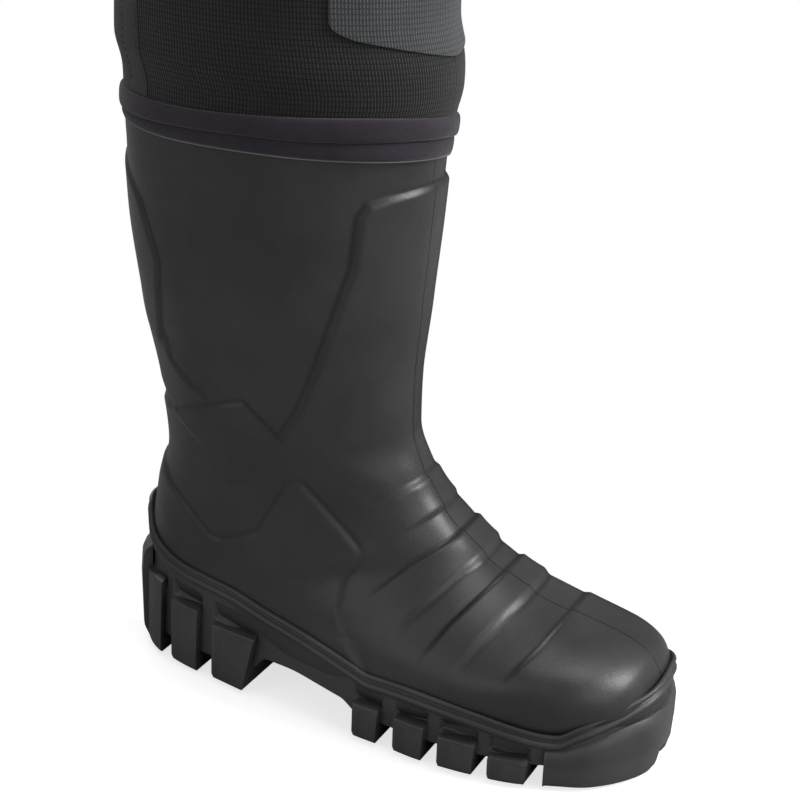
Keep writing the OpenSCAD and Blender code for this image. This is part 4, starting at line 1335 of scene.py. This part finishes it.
# ---- belt
def belt_point(angle, lift):
    return section_ring(TORSO, np.full(np.shape(angle), BELT_Z), angle, lift)


def at_belt(points):
    """Points at the belt's height from (x, y)."""
    return np.array([(x, y, BELT_Z) for x, y in points], float)


def build_belt():
    around = belt_point(np.linspace(35, 328, 240), 1.6)
    right = at_belt([(-62, -130.6), (-44, -132.6), (-36, -131.8), (-31.5, -130.4), (-28.4, -131.6),
                     (-27.6, -136.4), (-28.4, -141.4), (-32, -142.9), (-37, -142.4), (-42, -139.0),
                     (-50, -136.6), (-70, -134.9), (-92, -129.6)])
    path = curve_through(np.concatenate([around, right]), 420)
    obj = strap("belt_webbing", path, UP, WEBBING)
    place(obj, "torso", "webbing", "waist_belt")
    left = at_belt([(70, -128.6), (44, -131.4), (28, -131.2), (22, -130.2), (16.4, -131.4), (15.4, -136.4),
                    (16.4, -141.4), (20, -142.8), (25, -142.2), (32, -138.6), (46, -136.4), (70, -133.4)])
    start = belt_point(np.linspace(37, 26, 10), 1.6)
    tail = belt_point(np.linspace(24, 66, 50), 4.4)
    path = curve_through(np.concatenate([start, left, tail[4:]]), 320)
    obj = strap("belt_front", path, UP, WEBBING)
    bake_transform(obj)
    end = belt_point(np.array([64.5]), 5.4)[0]
    facing = outward(np.array(64.5))
    ends = [end + np.cross(UP, facing) * s for s in (0, 3)]
    stitches("belt_tail_stitches", bar_tacks(ends, UP * 16, facing, 6), "torso")
    lines = box_cross(np.array([-57.0, -136.9, BELT_Z]), np.array([9.0, -0.6, 0]), UP * 14, [0, -1.0, 0])
    stitches("belt_box_stitches", lines, "torso")
    for k, angle in enumerate((56, 124, 236, 304)):
        build_belt_loop(k + 1, float(angle))


def build_belt_loop(number, angle):
    """A short strap over the belt, sewn down above and below it."""
    lift = np.array([0.6, 0.9, 4.2, 6.6, 7.0, 7.0, 6.6, 4.2, 0.9, 0.6]) + 0.4
    z = np.array([1015.5, 1021, 1024.5, 1027.5, 1036, 1060, 1068.5, 1071.5, 1075, 1080.5])
    facing = outward(np.array(angle))
    path = curve_through(torso_surface(z, np.full(10, angle)) + facing * lift[:, None], 80)
    across = np.cross(facing, UP)
    obj = strap("belt_loop_%d" % number, path, across, WEBBING, width=16, thickness=1.5)
    place(obj, "torso", "webbing", *(("belt_loops",) if number == 1 else ()))
    lines = bar_tacks([path[at] + facing * 0.9 for at in (2, 5, 74, 77)], across * 6.5, facing, 5)
    stitches("belt_loop_stitches_%d" % number, lines, "torso", pitch=2.2, length=1.7)


# ---- braces
BRACE_LEAN, BRACE_TURN = math.radians(17), math.radians(19)
BRACE_START = np.array([96.0, -117.0, 1368.0])
BRACE_UP = np.array([-math.sin(BRACE_TURN) * math.sin(BRACE_LEAN),
                     math.cos(BRACE_TURN) * math.sin(BRACE_LEAN), math.cos(BRACE_LEAN)])
BRACE_WIDE = np.array([math.cos(BRACE_TURN), math.sin(BRACE_TURN), 0.0])
BRACE_OUT = np.cross(BRACE_WIDE, BRACE_UP)
OVER_SHOULDER = np.array([0.98, 0.16, 0.0])     # width direction of the webbing over the shoulder


def brace_points(pairs):
    """Points from (distance up the brace, distance out from its middle)."""
    return np.array([BRACE_START + BRACE_UP * up + BRACE_OUT * out for up, out in pairs])


def follow_plug(obj):
    """Applies the object's placement to its mesh; nothing here makes the brace follow the plug."""
    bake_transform(obj)


def build_brace(side):
    """Webbing whose end runs behind the bar of the plug, through its slot and up again in front."""
    lower = brace_points([(48, -2.4), (36, -4.2), (24, -5.8), (18, -6.2), (14.6, -4.8), (13.4, 0),
                          (14.6, 4.8), (18.5, 6.6), (24, 5.8), (33, 2.4), (46, 0.4), (62, 0), (94, 0),
                          (118, 0)])
    over = [(82, -62, 1505), (79, -24, 1520), (75, 22, 1517), (65, 68, 1494), (48, 104, 1452),
            (33, 126, 1414), (31, 129.2, 1398)]
    path = curve_through(np.concatenate([lower, over]), 360)
    share = smooth(np.linspace(0, 1, 360) * 1.6 - 0.45)[:, None]
    across = BRACE_WIDE * (1 - share) + OVER_SHOULDER * share
    obj = strap("brace_" + side, path, across, WEBBING, side)
    follow_plug(obj)
    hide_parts("brace_" + side)
    lines = box_cross(brace_points([(41, 2.5)])[0], BRACE_WIDE * 14, BRACE_UP * 5, BRACE_OUT)
    normal = unit(np.cross(OVER_SHOULDER, path[-1] - path[-12]))
    normal = normal if normal[1] > 0 else -normal
    lines += box_cross(path[-9] + normal, np.array([13.0, 1.5, 0]), np.array([0, 1.4, -7.0]), normal)
    follow_plug(stitches("brace_stitches_" + side, lines, None, side))


def build_tab(side):
    """Webbing sewn to the bib that holds the socket half of the brace buckle."""
    angle = 28.0
    facing = outward(np.array(angle))
    z = np.array([1258, 1272, 1290, 1308, 1318, 1326.0])
    lift = np.array([0.9, 1.0, 1.1, 1.6, 3.2, 3.6]) + 0.4
    face = torso_surface(z, np.full(6, angle)) + facing * lift[:, None]
    bar = brace_points([(-37.5, -6.4), (-33, -6.8), (-29.6, -5.2), (-28.4, 0), (-29.6, 5.2), (-33.5, 7.1),
                        (-38, 6.6)])
    back = torso_surface(np.array([1322, 1309.0]), np.full(2, angle)) + facing * np.array([[7.0], [4.6]])
    path = curve_through(np.concatenate([face, bar, back]), 200)
    share = smooth(np.linspace(0, 1, 200) / 0.55)[:, None]
    flat = np.cross(UP, facing)
    across = flat * (1 - share) + BRACE_WIDE * share
    obj = strap("brace_tab_" + side, path, across, WEBBING, side, thickness=1.7)
    place(obj, "torso", "webbing", *once(side, "brace_tabs"))
    lines = box_cross(face[1] + facing + UP * 4, flat * 15, UP * 11, facing)
    stitches("brace_tab_stitches_" + side, lines, "torso", side)


def build_back():
    """Elastic that joins the braces to the back of the bib."""
    fold = [(131.8, 1332), (132.2, 1336.5), (134.6, 1338.4), (136.8, 1336), (136.6, 1328), (134.6, 1300),
            (132.4, 1262), (131.4, 1238), (130.8, 1196)]
    path = curve_through([(0, y, z) for y, z in fold], 160)
    obj = strap("back_elastic", path, (1, 0, 0), ELASTIC, width=50, thickness=2.0)
    place(obj, "torso", "elastic", "back_elastic")
    wide, tall = np.array([20.0, 0, 0]), np.array([0, 0.4, 13.0])
    lines = box_cross(np.array([0, 133.1, 1214.0]), wide, tall, [0, 1.0, 0])
    stitches("back_elastic_stitches", lines, "torso")


# ---- D-rings and drawcord
def build_ring_tab(side):
    fold = [(-131.2, 1312), (-134.6, 1306), (-138.2, 1297), (-141.6, 1289), (-142.3, 1284), (-140.8, 1281),
            (-138.6, 1280.6), (-136.2, 1282.6), (-135.4, 1287), (-134.4, 1297), (-131.6, 1304)]
    path = curve_through([(58, y, z) for y, z in fold], 90)
    obj = strap("d_ring_tab_" + side, path, (1, 0, 0), WEBBING, side, width=16, thickness=1.2)
    place(obj, "torso", "webbing", *once(side, "d_ring_tabs"))
    centres = np.array([(58, -138.9, 1297.5), (58, -137.9, 1300.5)])
    lines = bar_tacks(centres, np.array([6, 0, 0]), [0, -1.0, 0.3], 4)
    stitches("d_ring_stitches_" + side, lines, "torso", side, pitch=2.2, length=1.7)


def build_drawcord():
    """Two cords that leave the hem, run through the cord lock and end in a knot."""
    for k, y in enumerate((-1.6, 1.6)):
        path = curve_through([(-33, -131, 1304), (-29, -137, 1303), (-24, -143 + y, 1302),
                              (4, -143 + y, 1302), (20, -143 + y * 0.9, 1302),
                              (25, -143 + y * 0.2, 1301.6)], 90)
        obj = cord("drawcord_%d" % (k + 1), path, 1.25)
        if k == 0:
            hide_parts("hem_drawcord")
    turn = np.linspace(0, 4 * np.pi, 90)
    knot = np.stack([27 + 2.3 * np.cos(turn) + turn * 0.12, -143 + 2.1 * np.sin(turn),
                     1301.8 + 1.5 * np.sin(turn * 0.75 + 0.6)], -1)
    tail = np.array([[30.5, -143.6, 1300], [33.5, -144.2, 1295.0], [34.5, -144.0, 1288.5]])
    cord("drawcord_knot", curve_through(np.concatenate([knot[::3], tail]), 140), 1.3)
    path = curve_through([(-38, -131.0, 1296), (-31, -134.8, 1300), (-29, -137.4, 1304), (-31, -134.4, 1309),
                          (-38, -130.8, 1313)], 60)
    obj = strap("drawcord_tab", path, (0.8, -0.4, 0.0), WEBBING, width=9, thickness=1.2)
    place(obj, "torso", "webbing")


# ---- inside of the boots and legs
def build_inside(side):
    """Lining and footbed of a boot, and the tape over the seam inside the cuff."""
    shin = "shin_" + side
    P = to_row(boot_grid(110, 120, 5.2, 0.3, 14.2))[::-1]
    lining = grid_object("boot_lining_" + side, P, LINING, side, True, arc_uv(P, True), caps=(0,))
    thicken(lining, 1.6)
    place(lining, shin, "lining", "boot_lining_" + side)
    u = np.linspace(28, 276, 80)[:, None]
    half = table([(28, 16), (60, 24), (115, 27), (175, 33), (230, 35), (262, 26), (276, 10)], u)
    floor = table([(28, 65), (60, 58), (115, 50), (175, 46), (230, 45), (276, 50)], u)
    v = np.sin(np.linspace(-np.pi / 2, np.pi / 2, 30))[None, :]
    crown = 0.8 * (1 - v ** 2) + 2.5 * np.abs(v) ** 6
    P = np.stack(np.broadcast_arrays(STANCE + u / 80 + half * v, ANKLE - u, floor + crown + 3.5), -1)[::-1]
    bed = cloth_shell("insole_" + side, P, arc_uv(P, False), FOOTBED, 3.5, side, edge=0.5)
    place(bed, shin, "insole_foam", "insole_" + side)
    z = np.linspace(304, 323, 9)
    P = section_ring(LEG, z[:, None], round_angles(160)[None, :], -NEOPRENE - 1.4)
    uv = sheet_uv(np.linspace(0, 450, 161), z)
    tape = cloth_shell("inner_seam_tape_" + side, P, uv, TAPE, 0.8, side, True, edge=0.2)
    place(tape, shin, "binding_tape", "inner_seam_tape_" + side)


# ---- buckles and other hard pieces
LOOKS = {"belt_": PLASTIC, "brace_": PLASTIC, "zip_": METAL, "d_ring_": METAL, "cord_lock_barrel": PLASTIC,
         "cord_lock_button": PLASTIC_GREY, "cord_lock_spring": WIRE}
SMALL = ("zip_", "d_ring", "cord_lock", "brace_prong", "belt_prong")


def finish_hardware():
    """CAD pieces that stay as they are: a small bevel on their edges and a material."""
    for node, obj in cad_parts.items():
        if obj.hide_render:
            continue
        obj.data.materials.clear()
        obj.data.materials.append(next(look for key, look in LOOKS.items() if node.startswith(key)))
        if node == "cord_lock_spring":
            continue
        obj.modifiers.new("weld", "WELD").merge_threshold = 0.00002
        bevel(obj, 0.25 if node.startswith(SMALL) else 0.7, 2, 40)
        weighted_normals(obj)


for side in SIDES:
    for build in (build_cuff, build_leg, build_patches, build_hip, build_inside, build_brace, build_tab,
                  build_ring_tab):
        build(side)
for build in (build_fork_seam, build_bib, build_hem, build_pocket, build_zip, build_belt, build_back,
              build_drawcord, finish_hardware):
    build()


# ---- stage, light and camera
def build_stage():
    """A pale floor, brighter to the camera than to the light that bounces off it."""
    bpy.ops.mesh.primitive_plane_add(size=14, location=(0, 0, -0.0005))
    floor = bpy.context.object
    floor.name = "floor"
    s = Shader("pale_floor")
    camera_ray = s.add("ShaderNodeLightPath").outputs["Is Camera Ray"]
    grain = s.noise(3, 2)
    plain = s.add("ShaderNodeBsdfDiffuse", {"Color": s.mix(grain, grey(0.30), grey(0.32))})
    pale = s.add("ShaderNodeBsdfDiffuse", {"Color": grey(0.5)})
    glow = s.add("ShaderNodeEmission", {"Color": grey(1.0), "Strength": 0.72})
    seen = s.add("ShaderNodeAddShader", {0: pale.outputs[0], 1: glow.outputs[0]})
    both = s.add("ShaderNodeMixShader", {0: camera_ray, 1: plain.outputs[0], 2: seen.outputs[0]})
    s.add("ShaderNodeOutputMaterial", {"Surface": both.outputs[0]})
    floor.data.materials.append(s.material)


def build_world():
    """White behind the object, and a dimmer white that lights it."""
    world = bpy.data.worlds.new("studio")
    bpy.context.scene.world = world
    world.use_nodes = True
    nodes, links = world.node_tree.nodes, world.node_tree.links
    nodes.clear()
    path, mix = nodes.new("ShaderNodeLightPath"), nodes.new("ShaderNodeMixShader")
    links.new(path.outputs["Is Camera Ray"], mix.inputs[0])
    for socket, strength in ((1, 0.28), (2, 1.0)):
        white = nodes.new("ShaderNodeBackground")
        white.inputs["Color"].default_value = (1, 1, 1, 1)
        white.inputs["Strength"].default_value = strength
        links.new(white.outputs[0], mix.inputs[socket])
    links.new(mix.outputs[0], nodes.new("ShaderNodeOutputWorld").inputs[0])


def area_light(name, position, target, size, watts):
    data = bpy.data.lights.new(name, "AREA")
    data.shape, data.size, data.size_y = "RECTANGLE", size[0], size[1]
    data.energy = watts
    lamp = bpy.data.objects.new(name, data)
    lamp.location = position
    lamp.rotation_euler = (Vector(target) - Vector(position)).to_track_quat("-Z", "Y").to_euler()
    bpy.context.scene.collection.objects.link(lamp)


def build_camera():
    """The view of the right boot from its outer side, 22.6 degrees above the horizon."""
    azimuth, elevation, roll = math.radians(65.64), math.radians(22.62), math.radians(2.756)
    target = Vector((-STANCE, ANKLE - 150, 150)) * MM
    back = Vector((-math.sin(azimuth) * math.cos(elevation), -math.cos(azimuth) * math.cos(elevation),
                   math.sin(elevation)))
    right = Vector((0, 0, 1)).cross(back).normalized()
    up = back.cross(right)
    turn = Matrix((right, up, back)).transposed() @ Matrix.Rotation(roll, 3, "Z")
    data = bpy.data.cameras.new("camera")
    data.sensor_width = 36
    data.lens = 86.3235
    data.shift_x, data.shift_y = -0.0038, 0.0407
    data.clip_start, data.clip_end = 0.1, 1.112     # ends behind the right boot, before the left one
    cam = bpy.data.objects.new("camera", data)
    cam.matrix_world = Matrix.Translation(target + back * 0.9987) @ turn.to_4x4()
    bpy.context.scene.collection.objects.link(cam)
    bpy.context.scene.camera = cam


build_stage()
build_world()
area_light("key", (0.9, -3.0, 2.3), (-0.12, -0.05, 0.45), (1.5, 1.5), 150)
area_light("front", (-1.6, -3.2, 1.4), (-0.1, 0, 0.6), (1.8, 2.4), 26)
area_light("side", (-3.2, 1.4, 1.6), (0, 0, 0.6), (2.4, 2.4), 22)
area_light("top", (0.1, -0.6, 3.6), (0, 0, 0.3), (2.0, 2.0), 55)
area_light("back", (2.2, 2.8, 2.4), (0, 0, 0.7), (2.2, 2.2), 70)
build_camera()
bpy.context.scene.view_settings.view_transform = "Standard"
